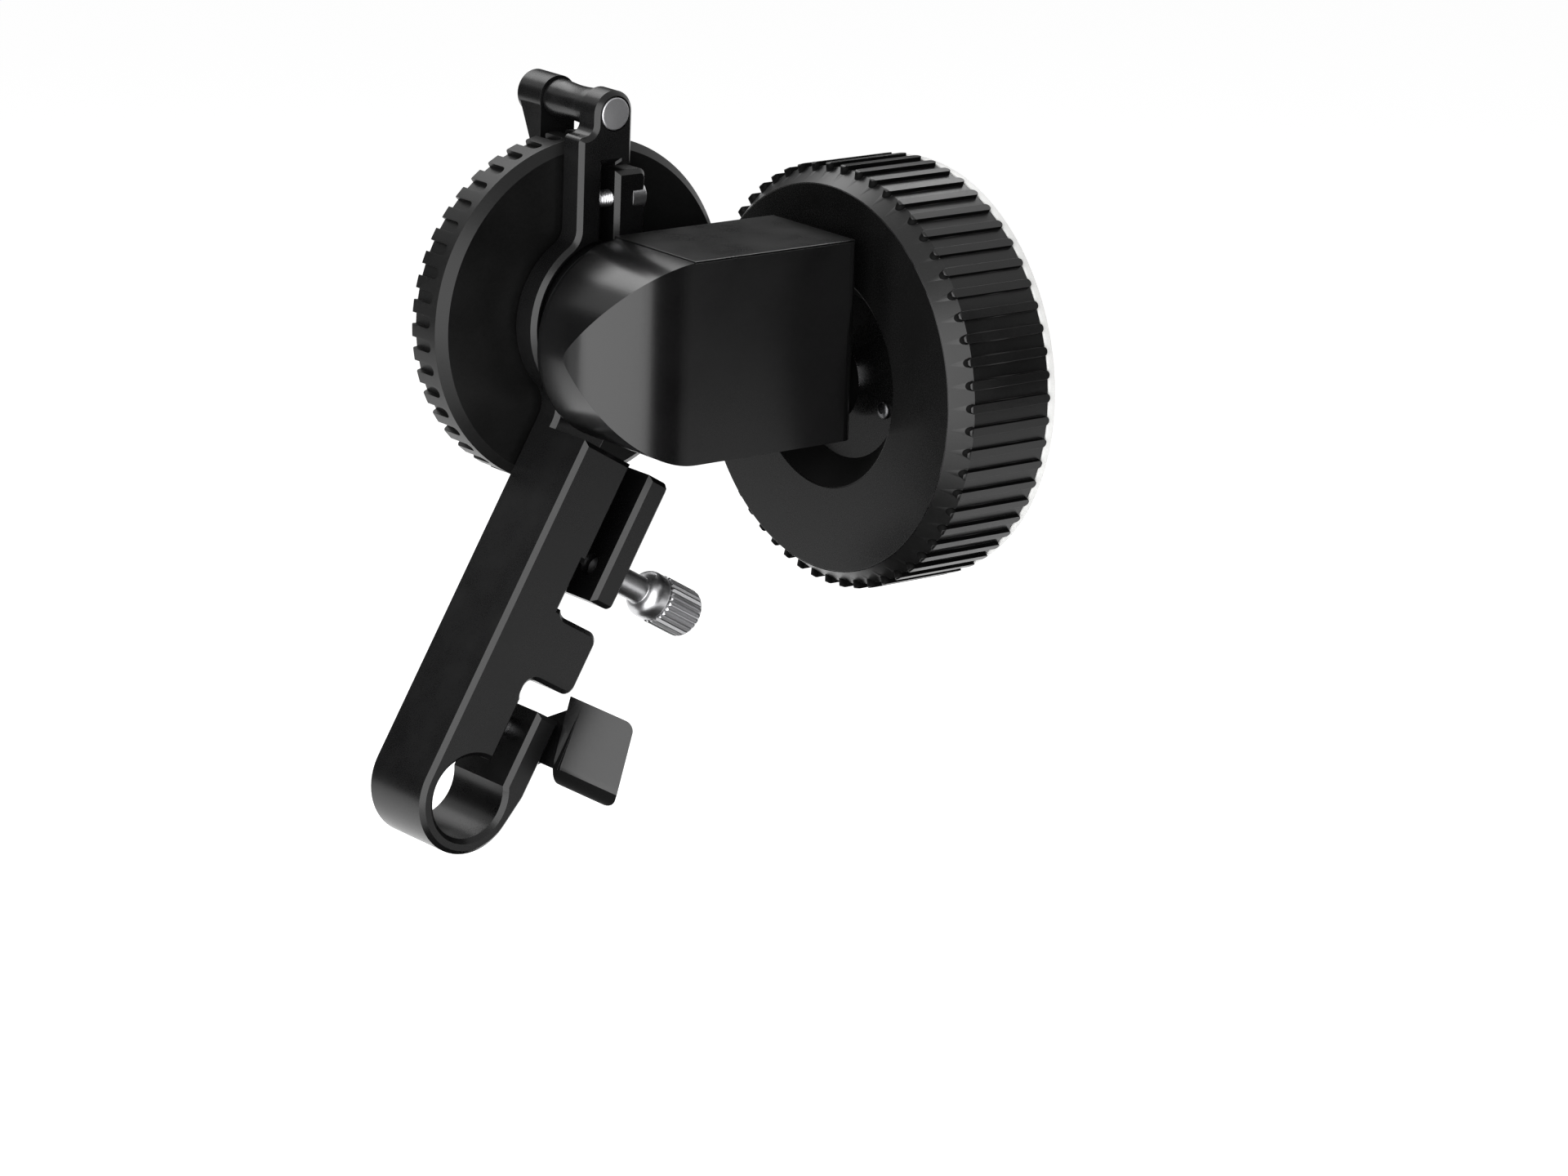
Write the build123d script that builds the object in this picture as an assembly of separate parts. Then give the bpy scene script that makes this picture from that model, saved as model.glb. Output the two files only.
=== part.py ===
from build123d import *
import math
import os

# Follow focus unit: a bracket that clamps on a 15 mm rod carries a swivelling gearbox.
# The hand wheel turns about X, the drive wheel turns about Y. Millimetres, +Z up.
# Origin: on the rod's axis, at the middle of the arm's depth. The rod lies along Y.

# --- rod clamp and arm (profile in the arm's own axes: "along" it, and "across" it) ---
rod_diameter = 15.0
arm_depth = 15.5
arm_lean = 30.0                # degrees from upright, towards +X
arm_foot_radius = 10.3
arm_side_start = 4.0           # the straight right side starts here, along
arm_right = 11.2               # right side of the arm, across
arm_top = 64.6                 # top of the arm, along
slot_left = 1.2                # both slots start here, across
slot_width = 4.9
notch_corner = 2.0
notch_undercut = 0.5           # the notches reach this far past the slots
notch_height = 4.7
nose_round = 2.2
lower_notch_along = 18.7
upper_notch_along = 35.4
channel_step_along = 45.4      # below this the side channel is a little wider
channel_step = 0.9
corner_round = 1.5
edge_chamfer = 0.8

# --- ring plate, which is the arm's rear layer ---
plate_thickness = 5.0
wheel_axis_x = 34.7
wheel_axis_z = 79.1
ring_wall = 2.0
web_reach = 12.0               # how far the arm's rear layer runs on into the ring
web_right = 2.0                # right side of what joins the arm to the ring, across
ring_blend = 5.0               # concave radius from the ring to the arm
stem_blend = 3.5               # and from the ring to the stem
shoulder_blend = 2.0
stem_left = 28.2               # left side of the stem above the ring
stem_slot_left = 33.2          # the clamp slot
stem_slot_width = 3.0
stem_slot_top = 107.0
ear_width = 6.5
ear_top = 105.4
ear_gap = 1.0                  # between the ear's top and the stem above it
ear_bottom = 88.0
lug_x = 35.4
lug_z = 115.7
lug_radius = 4.0
shoulder_z = 112.0

# --- bridge over the drive wheel ---
bridge_length = 11.9
bridge_radius = 3.35
bridge_waist = 0.25
bridge_land = 2.0              # straight length at each of its ends
pin_radius = 2.0
pin_head_radius = 3.05
pin_head_length = 3.0
pin_head_stand = 0.2           # how far the head stands out of the lug
rear_boss_radius = 3.9
rear_boss_length = 6.8
rear_boss_wall = 0.5           # closes the pin's hole
rear_plate_thickness = 3.2
rear_taper = 7.5
rear_hub_radius = 7.5
rear_web_width = 7.4

# --- gearbox ---
box_over_neck = 1.9            # from the top of the neck to the top of the box
box_under_bearing = 0.7        # from the lower bearing to the floor of the box
box_depth = 24.8
box_right_reach = 34.8         # from the wheel's axis to the right end
box_plan_corner = 16.0
box_edge_round = 2.4
box_foot_round = 1.0
box_rear_round = 3.0
box_wall = 2.0
box_end_wall = 3.0
neck_radius = 13.9
neck_length = 7.6
neck_spigot_radius = 11.0      # the neck seats in the box's rear wall with this
neck_gap = 2.15                # between the box and the ring plate
cover_thickness = 2.2
cover_rim = 0.9
cover_gap = 0.15
cover_lip = 1.5
cover_lip_wall = 1.2
cover_left = 1.4               # the cover's left end lies this far left of the wheel's axis
cover_sink = 0.05

# --- gear train ---
spur_module = 0.6
knob_teeth = 16
lay_teeth = 24
spur_width = 4.0
spur_gap = 2.0                 # from the bearing plate to the spur gears
bevel_teeth = 16
bevel_pitch_radius = 8.5
bevel_width = 2.7
pressure_angle = 20.0
backlash = 0.10
hub_length = 1.9
bevel_hub_radius = 4.5

# --- bearings and shafts ---
lay_shaft_radius = 2.5
shaft_stand = 0.4              # how far the hand wheel's shaft stands out of its inner bearing
knob_step_gap = 1.5            # from the box's end wall to the step in the hand wheel's shaft
small_bearing_radius = 5.5
small_bearing_width = 4.0
knob_shaft_radius = 3.0
knob_bearing_radius = 6.5
knob_bearing_width = 5.0
wheel_shaft_radius = 4.0
wheel_bearing_radius = 8.0
wheel_bearing_width = 5.0
bearing_lip = 2.0              # what holds a bearing's outer ring, in radius
shaft_gap = 1.0                # between a shaft and a hole that it runs through
bearing_inset = 0.4           # how far the neck's end stands over the wheel's bearing
stub_radius = 3.0
bush_radius = 4.5
running_fit = 0.05
seat_fit = 0.02
bearing_plate_reach = 11.3     # from the wheel's axis to the bearing plate
bearing_plate_thickness = 5.0
plate_groove = 0.8
plate_gap = 0.05               # round the bearing plate
lay_boss_radius = 7.0
lay_boss_length = 4.6
knob_boss_radius = 8.0
knob_boss_length = 4.4
knob_boss_spigot = 7.4         # radius and depth of the boss's seat in the end wall
knob_boss_seat = 1.5

# --- drive wheel ---
wheel_gap = 1.1
wheel_radius = 31.2
wheel_face_radius = 29.6
wheel_width = 9.0
wheel_chamfer = 1.7
wheel_web = 6.0
wheel_rim = 5.0
wheel_back_edge = 0.4
wheel_hub_radius = 8.0
wheel_boss_radius = 5.2
groove_count = 45
groove_width = 2.1
groove_depth = 1.1
groove_start = 3.2             # from the wheel's face to the grooves' rounded ends
clip_thickness = 0.8
clip_width = 1.6
clip_seat = 0.4                # depth of the shaft's groove for the clip
clip_opening = 2.0
clip_land = 0.3                # the shaft's step lies this far behind the clip

# --- hand wheel ---
knob_gap = 2.5
knob_width = 21.4
knob_rib_radius = 38.2
rib_height = 1.2
knob_bevel = 2.0               # length of the bevel round the face
knob_bevel_rise = 2.2          # and its height
knob_back_edge = 0.3
rib_count = 58
rib_width = 2.1
rib_inset = 1.3                # from the face to the ribs' rounded ends
rib_end = 1.0
recess_radius = 19.6
recess_taper = 4.6             # its floor's radius is this much smaller
hub_flange = 1.5               # thickness of the hub's flange, which seats behind the wheel
recess_depth = 5.2
hub_screw_circle = 12.0
hub_screw_radius = 1.4
hub_screw_shank = 0.84
hub_screw_head = 0.9
hub_screw_length = 5.0
hub_screw_first = 200          # degrees, where the first one stands
hub_screw_count = 3
disc_rim = 0.4                 # the core's rim round the disc
disc_gap = 0.1
disc_inner_radius = 19.0
disc_thickness = 2.0
disc_seat = 1.4
knob_pocket_radius = 16.0
knob_pocket_depth = 9.0
knob_screw_radius = 2.0
knob_screw_depth = 3.5
knob_screw_socket = 1.7
knob_screw_socket_depth = 1.8
knob_shaft_reach = 5.0         # from the recess's floor to the end of the shaft
knob_screw_head_radius = 4.0
knob_screw_head = 2.6
spacer_radius = 4.4

# --- screws and lever ---
clamp_screw_z = 100.3
clamp_screw_radius = 1.5
clamp_screw_wall = 1.2         # what is left of the stem past its hole
clamp_screw_gap = 0.4          # between the hole's floor and the screw's end
clamp_socket = 1.45
clamp_socket_depth = 1.6
clamp_head_radius = 2.75
clamp_head_length = 3.0
clamp_hole_depth = 3.0
thumb_along = 46.2
thumb_y = -2.5
thumb_thread_radius = 2.0
thread_chamfer = 0.4
thumb_neck_radius = 2.5
thumb_neck_length = 8.8
thumb_head_radius = 4.45
thumb_head_length = 11.3
thumb_tip = 1.2                # how far its tip reaches into the side channel
knurl_count = 26
knurl_depth = 0.35
knurl_extra = 0.2              # how far the knurls' cutter stands outside the head
shoulder_length = 3.6
shoulder_drop = 0.15           # the shoulder is this much smaller than the head, in radius
shoulder_round = 0.9
thumb_groove = 1.1             # depth of the groove before the knurls
thumb_groove_width = 0.7
thumb_end_round = 1.2
lever_along = 14.4
stud_radius = 2.0
stud_depth = 7.0
washer_radius = 4.2
washer_thickness = 0.8
lever_hub_radius = 4.4
lever_hub_length = 3.2
stud_end_gap = 0.4             # between the stud's end and the floor of its hole
paddle_near = 5.0              # the paddle runs from here in front of the stud
paddle_far = 24.2
paddle_top = 24.0
paddle_step = 1.0              # the paddle's flat stands back this far from the hub's face
paddle_slope = 2.45            # how far the flat leans out on its way down
paddle_roll = 2.7              # radius of the rolled lower edge
paddle_roll_along = 11.4
paddle_edge = 0.8              # radius of the upper edge
paddle_thin = 1.2              # thickness left at the far end
paddle_far_top_round = 1.6
paddle_far_low_round = 2.6

# --- making ---
fit_gap = 0.1                  # round a head or a washer
overlap = 1.0                  # how far pieces of one body reach into each other
overcut = 10.0                 # how far an open cut runs past the body

# --- places worked out from the sizes above ---
arm_front = -arm_depth / 2
arm_back = arm_depth / 2
plate_front = arm_back - plate_thickness
ring_radius = neck_radius + ring_wall
box_back = plate_front - neck_gap
box_front = box_back - box_depth
box_mid_y = (box_front + box_back) / 2
axis_offset = spur_module * (knob_teeth + lay_teeth) / 2
knob_axis_z = wheel_axis_z - axis_offset
box_top = wheel_axis_z + neck_radius + box_over_neck
box_bottom = knob_axis_z - small_bearing_radius - box_under_bearing - box_wall
box_height = box_top - box_bottom
box_mid_z = (box_top + box_bottom) / 2
box_right = wheel_axis_x + box_right_reach
knob_left = box_right + knob_gap
knob_right = knob_left + knob_width
knob_valley_radius = knob_rib_radius - rib_height
knob_face_radius = knob_valley_radius - knob_bevel_rise
disc_seat_radius = knob_face_radius - disc_rim
wheel_front = arm_back + wheel_gap
wheel_back = wheel_front + wheel_width
rear_front = arm_back + bridge_length
rear_back = rear_front + rear_plate_thickness
bearing_plate_left = wheel_axis_x + bearing_plate_reach
bearing_plate_right = bearing_plate_left + bearing_plate_thickness
spur_left = bearing_plate_right + spur_gap
lever_plane = arm_right + washer_thickness
web_top = arm_top + web_reach

LEAN = math.radians(arm_lean)
ACROSS = Vector(math.cos(LEAN), 0, -math.sin(LEAN))
ALONG = Vector(math.sin(LEAN), 0, math.cos(LEAN))


# ---------------------------------------------------------------- helpers

def slab(profile, front, back):
    """Extrude a profile drawn in X and Z from one Y position to another."""
    return extrude(Plane.XZ.offset(-back) * profile, back - front)


def arm_slab(profile, front, back):
    """The same for a profile drawn in the arm's across and along axes."""
    plane = Plane(origin=(0, back, 0), x_dir=ACROSS, z_dir=(0, -1, 0))
    return extrude(plane * profile, back - front)


def rectangle(left, bottom, right, top):
    return Pos((left + right) / 2, (bottom + top) / 2) * Rectangle(right - left, top - bottom)


def block(left, front, bottom, right, back, top):
    size = Box(right - left, back - front, top - bottom)
    return Pos((left + right) / 2, (front + back) / 2, (bottom + top) / 2) * size


def along_x(radius, left, right, y, z):
    """A cylinder about a line along X."""
    return Pos((left + right) / 2, y, z) * Rot(0, 90, 0) * Cylinder(radius, right - left)


def along_y(radius, front, back, x, z):
    """A cylinder about a line along Y."""
    return Pos(x, (front + back) / 2, z) * Rot(90, 0, 0) * Cylinder(radius, back - front)


def across_arm(radius, start, end, along, y):
    """A cylinder that lies across the arm, from one across position to another."""
    centre = ALONG * along + ACROSS * ((start + end) / 2) + Vector(0, y, 0)
    return Pos(*centre) * Rot(0, 90 + arm_lean, 0) * Cylinder(radius, end - start)


def turned_x(points, y, z):
    """Turn a closed outline of (x, radius) points about a line along X."""
    plane = Plane(origin=(0, y, z), x_dir=(1, 0, 0), z_dir=(0, -1, 0))
    outline = make_face(Polyline(*points, close=True))
    return revolve(plane * outline, axis=Axis((0, y, z), (1, 0, 0)))


def turned_y(points, x, z):
    """Turn a closed outline of (y, radius) points about a line along Y."""
    plane = Plane(origin=(x, 0, z), x_dir=(0, 1, 0), z_dir=(1, 0, 0))
    outline = make_face(Polyline(*points, close=True))
    return revolve(plane * outline, axis=Axis((x, 0, z), (0, 1, 0)))


def ring_x(outer, inner, left, right, y, z):
    return along_x(outer, left, right, y, z) - along_x(inner, left, right, y, z)


def ring_y(outer, inner, front, back, x, z):
    return along_y(outer, front, back, x, z) - along_y(inner, front, back, x, z)


# ---------------------------------------------------------------- bracket

def arm_outline():
    """The arm from its rounded foot to its top, in across and along."""
    corners = [(-arm_foot_radius, arm_top), (arm_right, arm_top), (arm_right, arm_side_start)]
    edges = [Edge.make_circle(arm_foot_radius)]
    edges += Polyline(*corners, close=True).edges()
    return make_hull(edges)


def notch(bottom):
    """A notch with rounded inner corners, open to the right."""
    cut = rectangle(slot_left - notch_undercut, bottom, arm_right + overcut, bottom + notch_height)
    inner = cut.vertices().sort_by(Axis.X)[:2]
    return fillet(inner, notch_corner)


def arm_cuts():
    """What is cut through the arm's whole depth."""
    bore = Circle(rod_diameter / 2)
    slit = rectangle(slot_left, 0, slot_left + slot_width, lower_notch_along + overlap)
    return bore + slit + notch(lower_notch_along) + notch(upper_notch_along)


def arm_profile():
    """The arm with its cuts, and with the corners of the nose and the jaw rounded."""
    profile = arm_outline() - arm_cuts()
    corners = profile.vertices().filter_by(lambda v: abs(v.X - arm_right) < 0.01)
    return fillet(corners.filter_by(lambda v: is_nose_corner(v.Y)), nose_round)


def is_nose_corner(along):
    return lower_notch_along + overlap < along < upper_notch_along + overlap


def chamfer_front(body, front):
    """Break the outer edges of the face that looks towards -Y."""
    faces = body.faces().filter_by(lambda f: abs(f.center().Y - front) < 0.01)
    edges = ShapeList()
    for face in faces:
        edges += face.outer_wire().edges()
    return chamfer(edges.filter_by(lambda e: not is_seam(e)), edge_chamfer)


def is_seam(edge):
    """The ring plate's lower edge lies against the top of the arm and stays sharp."""
    centre = edge.center()
    return abs(centre.dot(ALONG) - arm_top) < 0.01 and centre.Y > arm_front + 1


def side_channel():
    """The channel between the arm and its side jaw, cut from the front down to the rear layer."""
    low = upper_notch_along + overlap
    channel = rectangle(slot_left, low, slot_left + slot_width, arm_top + overcut)
    step = rectangle(slot_left - channel_step, low, slot_left + overlap, channel_step_along)
    return channel + step


def rear_outline():
    """Ring, stem, lug and the arm's rear layer in one outline, in X and Z."""
    disc = Pos(wheel_axis_x, wheel_axis_z) * Circle(ring_radius)
    stem_right = lug_x + lug_radius
    stem = rectangle(stem_left, wheel_axis_z, stem_right, shoulder_z)
    lug = Pos(lug_x, lug_z) * Circle(lug_radius)
    lug += rectangle(lug_x - lug_radius, shoulder_z - overlap, stem_right, lug_z)
    arm = Rot(0, 0, -arm_lean) * rectangle(-arm_foot_radius, arm_top, web_right, web_top)
    outline = disc + stem + lug + arm
    outline = fillet(near(outline, stem_left, wheel_axis_z + ring_radius - 2), stem_blend)
    outline = fillet(near(outline, lug_x - lug_radius, shoulder_z), shoulder_blend)
    outline = fillet(near(outline, stem_left, shoulder_z), shoulder_blend / 2)
    low_left = Vector(-arm_foot_radius, web_top).rotate(Axis.Z, -arm_lean)
    return fillet(near(outline, low_left.X, low_left.Y - 4), ring_blend)


def near(outline, x, z):
    """The outline's vertex that lies closest to a point."""
    return outline.vertices().sort_by_distance((x, z, 0))[:1]


def ear_cuts():
    """The clamp slot beside the ear, and the gap over it."""
    slot = rectangle(stem_slot_left, wheel_axis_z, stem_slot_left + stem_slot_width, stem_slot_top)
    gap = rectangle(stem_slot_left, ear_top, lug_x + lug_radius + overcut, ear_top + ear_gap)
    return slot + gap


def ear():
    left = stem_slot_left + stem_slot_width
    body = rectangle(left, ear_bottom, left + ear_width, ear_top)
    return fillet(body.vertices().group_by(Axis.Y)[-1].sort_by(Axis.X)[-1:], corner_round)


def bracket():
    """Ring plate, arm and rod clamp in one piece."""
    outline = rear_outline() - ear_cuts() + ear()
    outline -= rectangle(stem_slot_left, wheel_axis_z, stem_slot_left + stem_slot_width, ear_top)
    outline -= Pos(wheel_axis_x, wheel_axis_z) * Circle(neck_radius + running_fit)
    ring_plate = chamfer_front(slab(outline, plate_front, arm_back), plate_front)
    rear = arm_slab(arm_profile(), plate_front, arm_back)
    front = arm_slab(arm_profile() - side_channel(), arm_front, plate_front)
    body = ring_plate + rear + chamfer_front(front, arm_front)
    body -= along_y(pin_head_radius + running_fit, plate_front, plate_front + pin_head_length, lug_x, lug_z)
    body -= along_y(pin_radius + seat_fit, plate_front, arm_back, lug_x, lug_z)
    return body - bracket_holes()


def bracket_holes():
    """Holes for the ring's clamp screw, the thumbscrew and the rod clamp's stud."""
    screw_y = plate_front + plate_thickness / 2
    ear_left = stem_slot_left + stem_slot_width
    seat = ear_left + ear_width - clamp_hole_depth
    end = stem_left + clamp_screw_wall
    screw = along_x(clamp_screw_radius + running_fit, end, seat, screw_y, clamp_screw_z)
    screw += along_x(clamp_head_radius + fit_gap, seat, seat + overcut, screw_y, clamp_screw_z)
    jaw_left = slot_left + slot_width
    past = arm_right + overlap
    thumb = across_arm(thumb_thread_radius + running_fit, jaw_left - overlap, past, thumb_along, thumb_y)
    stud = across_arm(stud_radius + running_fit, slot_left - stud_depth, past, lever_along, 0)
    return screw + thumb + stud


# ---------------------------------------------------------------- bridge and rear support

def bridge_tube():
    """A slightly waisted spacer between the lug and the rear support."""
    middle = arm_back + bridge_length / 2
    outline = [(arm_back, pin_radius + seat_fit), (arm_back, bridge_radius),
               (arm_back + bridge_land, bridge_radius), (middle, bridge_radius - bridge_waist),
               (rear_front - bridge_land, bridge_radius), (rear_front, bridge_radius),
               (rear_front, pin_radius + seat_fit)]
    return turned_y(outline, lug_x, lug_z)


def bridge_pin():
    front = plate_front - pin_head_stand
    head = along_y(pin_head_radius, front, plate_front + pin_head_length, lug_x, lug_z)
    end = rear_front + rear_boss_length - rear_boss_wall - fit_gap
    return head + along_y(pin_radius, plate_front + pin_head_length, end, lug_x, lug_z)


def rear_support():
    """Carries the far end of the drive wheel's shaft, behind the wheel."""
    boss_back = rear_front + rear_boss_length
    boss = along_y(rear_boss_radius, rear_front, boss_back, lug_x, lug_z)
    web = rectangle(lug_x - rear_web_width / 2, wheel_axis_z, lug_x + rear_web_width / 2, lug_z)
    hub = Pos(wheel_axis_x, wheel_axis_z) * Circle(rear_hub_radius)
    plate = slab(web + hub, rear_front, rear_back)
    side = Plane(origin=(lug_x - rear_web_width / 2, 0, 0), x_dir=(0, 1, 0), z_dir=(1, 0, 0))
    taper = Polyline((rear_back, lug_z - rear_taper), (rear_back, lug_z), (boss_back, lug_z), close=True)
    wedge = extrude(side * make_face(taper), rear_web_width)
    body = boss + plate + wedge
    body -= along_y(bush_radius + seat_fit, rear_front, rear_back, wheel_axis_x, wheel_axis_z)
    return body - along_y(pin_radius + seat_fit, rear_front, boss_back - rear_boss_wall, lug_x, lug_z)


def rear_bush():
    return ring_y(bush_radius, stub_radius + running_fit, rear_front, rear_back, wheel_axis_x, wheel_axis_z)


# ---------------------------------------------------------------- gearbox

def box_profile(shrink, right):
    """Round left end and square right end, in X and Z."""
    radius = box_height / 2 - shrink
    end = Pos(wheel_axis_x, box_mid_z) * Circle(radius)
    return end + rectangle(wheel_axis_x, box_mid_z - radius, right, box_mid_z + radius)


def box_plan():
    """The box seen from above, with its large rounded corner at the front left."""
    left = wheel_axis_x - box_height / 2
    plan = rectangle(left, box_front, box_right, box_back)
    front_left = plan.vertices().group_by(Axis.Y)[0].sort_by(Axis.X)
    plan = fillet(front_left[:1], box_plan_corner)
    front_right = plan.vertices().group_by(Axis.X)[-1].sort_by(Axis.Y)
    return fillet(front_right[:1], box_edge_round)


def box_side():
    """The box seen from the right, with its small rounded edge at the front below, in Y and Z."""
    side = rectangle(box_front, box_bottom, box_back, box_top)
    low_front = side.vertices().group_by(Axis.Y)[0].sort_by(Axis.X)
    return fillet(low_front[:1], box_foot_round)


def housing_shell():
    """What the box's three outlines have in common, with its round end softened at the rear."""
    left = wheel_axis_x - box_height / 2
    body = slab(box_profile(0, box_right), box_front, box_back)
    rear_edges = body.edges().filter_by(lambda e: abs(e.center().Y - box_back) < 0.01)
    body = fillet(rear_edges.filter_by(GeomType.CIRCLE), box_rear_round)
    side_plane = Plane(origin=(left, 0, 0), x_dir=(0, 1, 0), z_dir=(1, 0, 0))
    body &= extrude(side_plane * box_side(), box_right - left)
    return body & extrude(Plane.XY.offset(box_bottom) * box_plan(), box_height)


def gear_chamber():
    """The space for the gears, open at the top."""
    shrunk = box_height / 2 - box_wall
    floor = box_mid_z - shrunk
    left = wheel_axis_x - shrunk
    room = slab(box_profile(box_wall, box_right - box_end_wall), box_front + box_wall, box_back - box_wall)
    prism = extrude(Plane.XY.offset(floor) * chamber_plan(left), 2 * shrunk)
    opening = block(wheel_axis_x, box_front + box_wall, box_mid_z, box_right - box_end_wall,
                    box_back - box_wall, box_top)
    return (room & prism) + opening


def chamber_plan(left):
    front = box_front + box_wall
    back = box_back - box_wall
    plan = rectangle(left, front, box_right - box_end_wall, back)
    corner = plan.vertices().group_by(Axis.Y)[0].sort_by(Axis.X)[:1]
    return fillet(corner, box_plan_corner - box_wall)


def cover_seat():
    left = wheel_axis_x - cover_left
    return block(left, box_front + cover_rim, box_top - cover_thickness,
                 box_right - cover_rim, box_back - cover_rim, box_top + overlap)


def plate_grooves():
    """Grooves in the front and rear walls that hold the bearing plate."""
    left = bearing_plate_left - seat_fit
    right = bearing_plate_right + seat_fit
    return block(left, box_front + box_wall - plate_groove, box_bottom + box_wall, right,
                 box_back - box_wall + plate_groove, box_top)


def gearbox_housing():
    """The box, with a seat for the neck, one for the boss and one for the lay shaft's bearing."""
    body = housing_shell()
    body -= gear_chamber()
    body -= plate_grooves()
    body += along_x(lay_boss_radius, box_right - box_end_wall - lay_boss_length, box_right - overlap,
                    box_mid_y, wheel_axis_z)
    body -= cover_seat()
    return body - housing_seats()


def housing_seats():
    """Seats for the neck, the boss and the lay shaft's right bearing, with the shaft's hole."""
    inside = box_back - box_wall
    spigot = neck_spigot_radius + seat_fit
    neck = along_y(spigot, inside - overlap, box_back + overlap, wheel_axis_x, wheel_axis_z)
    boss_left = box_right - box_end_wall - lay_boss_length
    lay = along_x(small_bearing_radius + seat_fit, boss_left, boss_left + small_bearing_width,
                  box_mid_y, wheel_axis_z)
    seat = box_right - knob_boss_seat
    boss = along_x(knob_boss_spigot + seat_fit, seat, box_right + overlap, box_mid_y, knob_axis_z)
    left = box_right - box_end_wall - overlap
    hole = along_x(knob_shaft_radius + shaft_gap, left, box_right, box_mid_y, knob_axis_z)
    return neck + lay + boss + hole


def gearbox_neck():
    """The round neck that turns in the bracket's ring, with a seat for the wheel's bearing."""
    inside = box_back - box_wall
    end = box_back + neck_length
    seat = end - wheel_bearing_width - 2 * bearing_inset
    body = along_y(neck_radius, box_back, end, wheel_axis_x, wheel_axis_z)
    body += along_y(neck_spigot_radius, inside, box_back, wheel_axis_x, wheel_axis_z)
    body -= along_y(wheel_bearing_radius + seat_fit, seat, end, wheel_axis_x, wheel_axis_z)
    return body - along_y(wheel_bearing_radius - bearing_lip, inside, end, wheel_axis_x, wheel_axis_z)


def knob_boss():
    """The short boss on the box's right end that holds the hand wheel's outer bearing."""
    seat = box_right - knob_boss_seat
    end = box_right + knob_boss_length
    body = along_x(knob_boss_radius, box_right, end, box_mid_y, knob_axis_z)
    body += along_x(knob_boss_spigot, seat, box_right, box_mid_y, knob_axis_z)
    body -= along_x(knob_bearing_radius + seat_fit, end - knob_bearing_width, end, box_mid_y, knob_axis_z)
    return body - along_x(knob_shaft_radius + shaft_gap, seat, end, box_mid_y, knob_axis_z)


def top_cover():
    """A flat lid with a lip that presses into the opening."""
    left = wheel_axis_x - cover_left + cover_gap
    front = box_front + cover_rim + cover_gap
    back = box_back - cover_rim - cover_gap
    right = box_right - cover_rim - cover_gap
    lid = block(left, front, box_top - cover_thickness, right, back, box_top - cover_sink)
    under = box_top - cover_thickness
    inset = box_wall + cover_gap
    outer = block(wheel_axis_x + cover_gap, box_front + inset, under - cover_lip,
                  bearing_plate_left - shaft_gap, box_back - inset, under)
    inner = outer.bounding_box()
    wall = cover_lip_wall
    hollow = block(inner.min.X + wall, inner.min.Y + wall, inner.min.Z, inner.max.X - wall,
                   inner.max.Y - wall, inner.max.Z)
    return lid + (outer - hollow)


def bearing_plate():
    """Carries the left ends of the lay shaft and the hand wheel's shaft."""
    body = block(bearing_plate_left, box_front + box_wall - plate_groove + plate_gap, box_bottom + box_wall,
                 bearing_plate_right, box_back - box_wall + plate_groove - plate_gap,
                 box_top - cover_thickness - fit_gap)
    right = bearing_plate_right
    left = right - small_bearing_width
    for z in (wheel_axis_z, knob_axis_z):
        body -= along_x(small_bearing_radius + seat_fit, left, right, box_mid_y, z)
        body -= along_x(lay_shaft_radius + shaft_gap, bearing_plate_left, right, box_mid_y, z)
    return body


def small_bearing(left, z):
    """A narrow ball bearing, outer ring to inner ring, as one sealed unit."""
    bore = lay_shaft_radius + running_fit
    right = left + small_bearing_width
    return ring_x(small_bearing_radius, bore, left, right, box_mid_y, z)


def lay_bearing_left():
    return small_bearing(bearing_plate_right - small_bearing_width, wheel_axis_z)


def lay_bearing_right():
    return small_bearing(box_right - box_end_wall - lay_boss_length, wheel_axis_z)


def knob_bearing_inner():
    return small_bearing(bearing_plate_right - small_bearing_width, knob_axis_z)


def knob_bearing_outer():
    right = box_right + knob_boss_length
    return ring_x(knob_bearing_radius, knob_shaft_radius + running_fit, right - knob_bearing_width, right,
                  box_mid_y, knob_axis_z)


def wheel_bearing():
    back = box_back + neck_length - bearing_inset
    return ring_y(wheel_bearing_radius, wheel_shaft_radius + running_fit, back - wheel_bearing_width, back,
                  wheel_axis_x, wheel_axis_z)


# ---------------------------------------------------------------- gears

def involute(angle):
    return math.tan(angle) - angle


def flank_angle(radius, pitch_radius, teeth):
    """Half the tooth's angle at a radius, for an involute tooth with backlash."""
    pressure = math.radians(pressure_angle)
    base = pitch_radius * math.cos(pressure)
    here = math.acos(min(1.0, base / radius))
    half = math.pi / (2 * teeth) - backlash / (2 * pitch_radius)
    return half + involute(pressure) - involute(here)


def tooth_points(pitch_radius, tip, root, teeth):
    """(radius, angle) of one tooth's outline, from its left root to its right root."""
    low = max(root, pitch_radius * math.cos(math.radians(pressure_angle)))
    radii = [root, low + 0.01, (low + tip) / 2, tip]
    right = [(r, flank_angle(max(r, low), pitch_radius, teeth)) for r in radii]
    left = [(r, -a) for r, a in right]
    return left + right[::-1]


def spur_profile(teeth, phase):
    """A spur gear's outline about the origin; phase turns it, in teeth."""
    pitch_radius = spur_module * teeth / 2
    root = pitch_radius - 1.25 * spur_module
    outline = tooth_points(pitch_radius, pitch_radius + spur_module, root, teeth)
    points = []
    for tooth in range(teeth):
        turn = 2 * math.pi * (tooth + phase) / teeth
        points += [(r * math.cos(a + turn), r * math.sin(a + turn)) for r, a in outline]
    return make_face(Polyline(*points, close=True))


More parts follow.
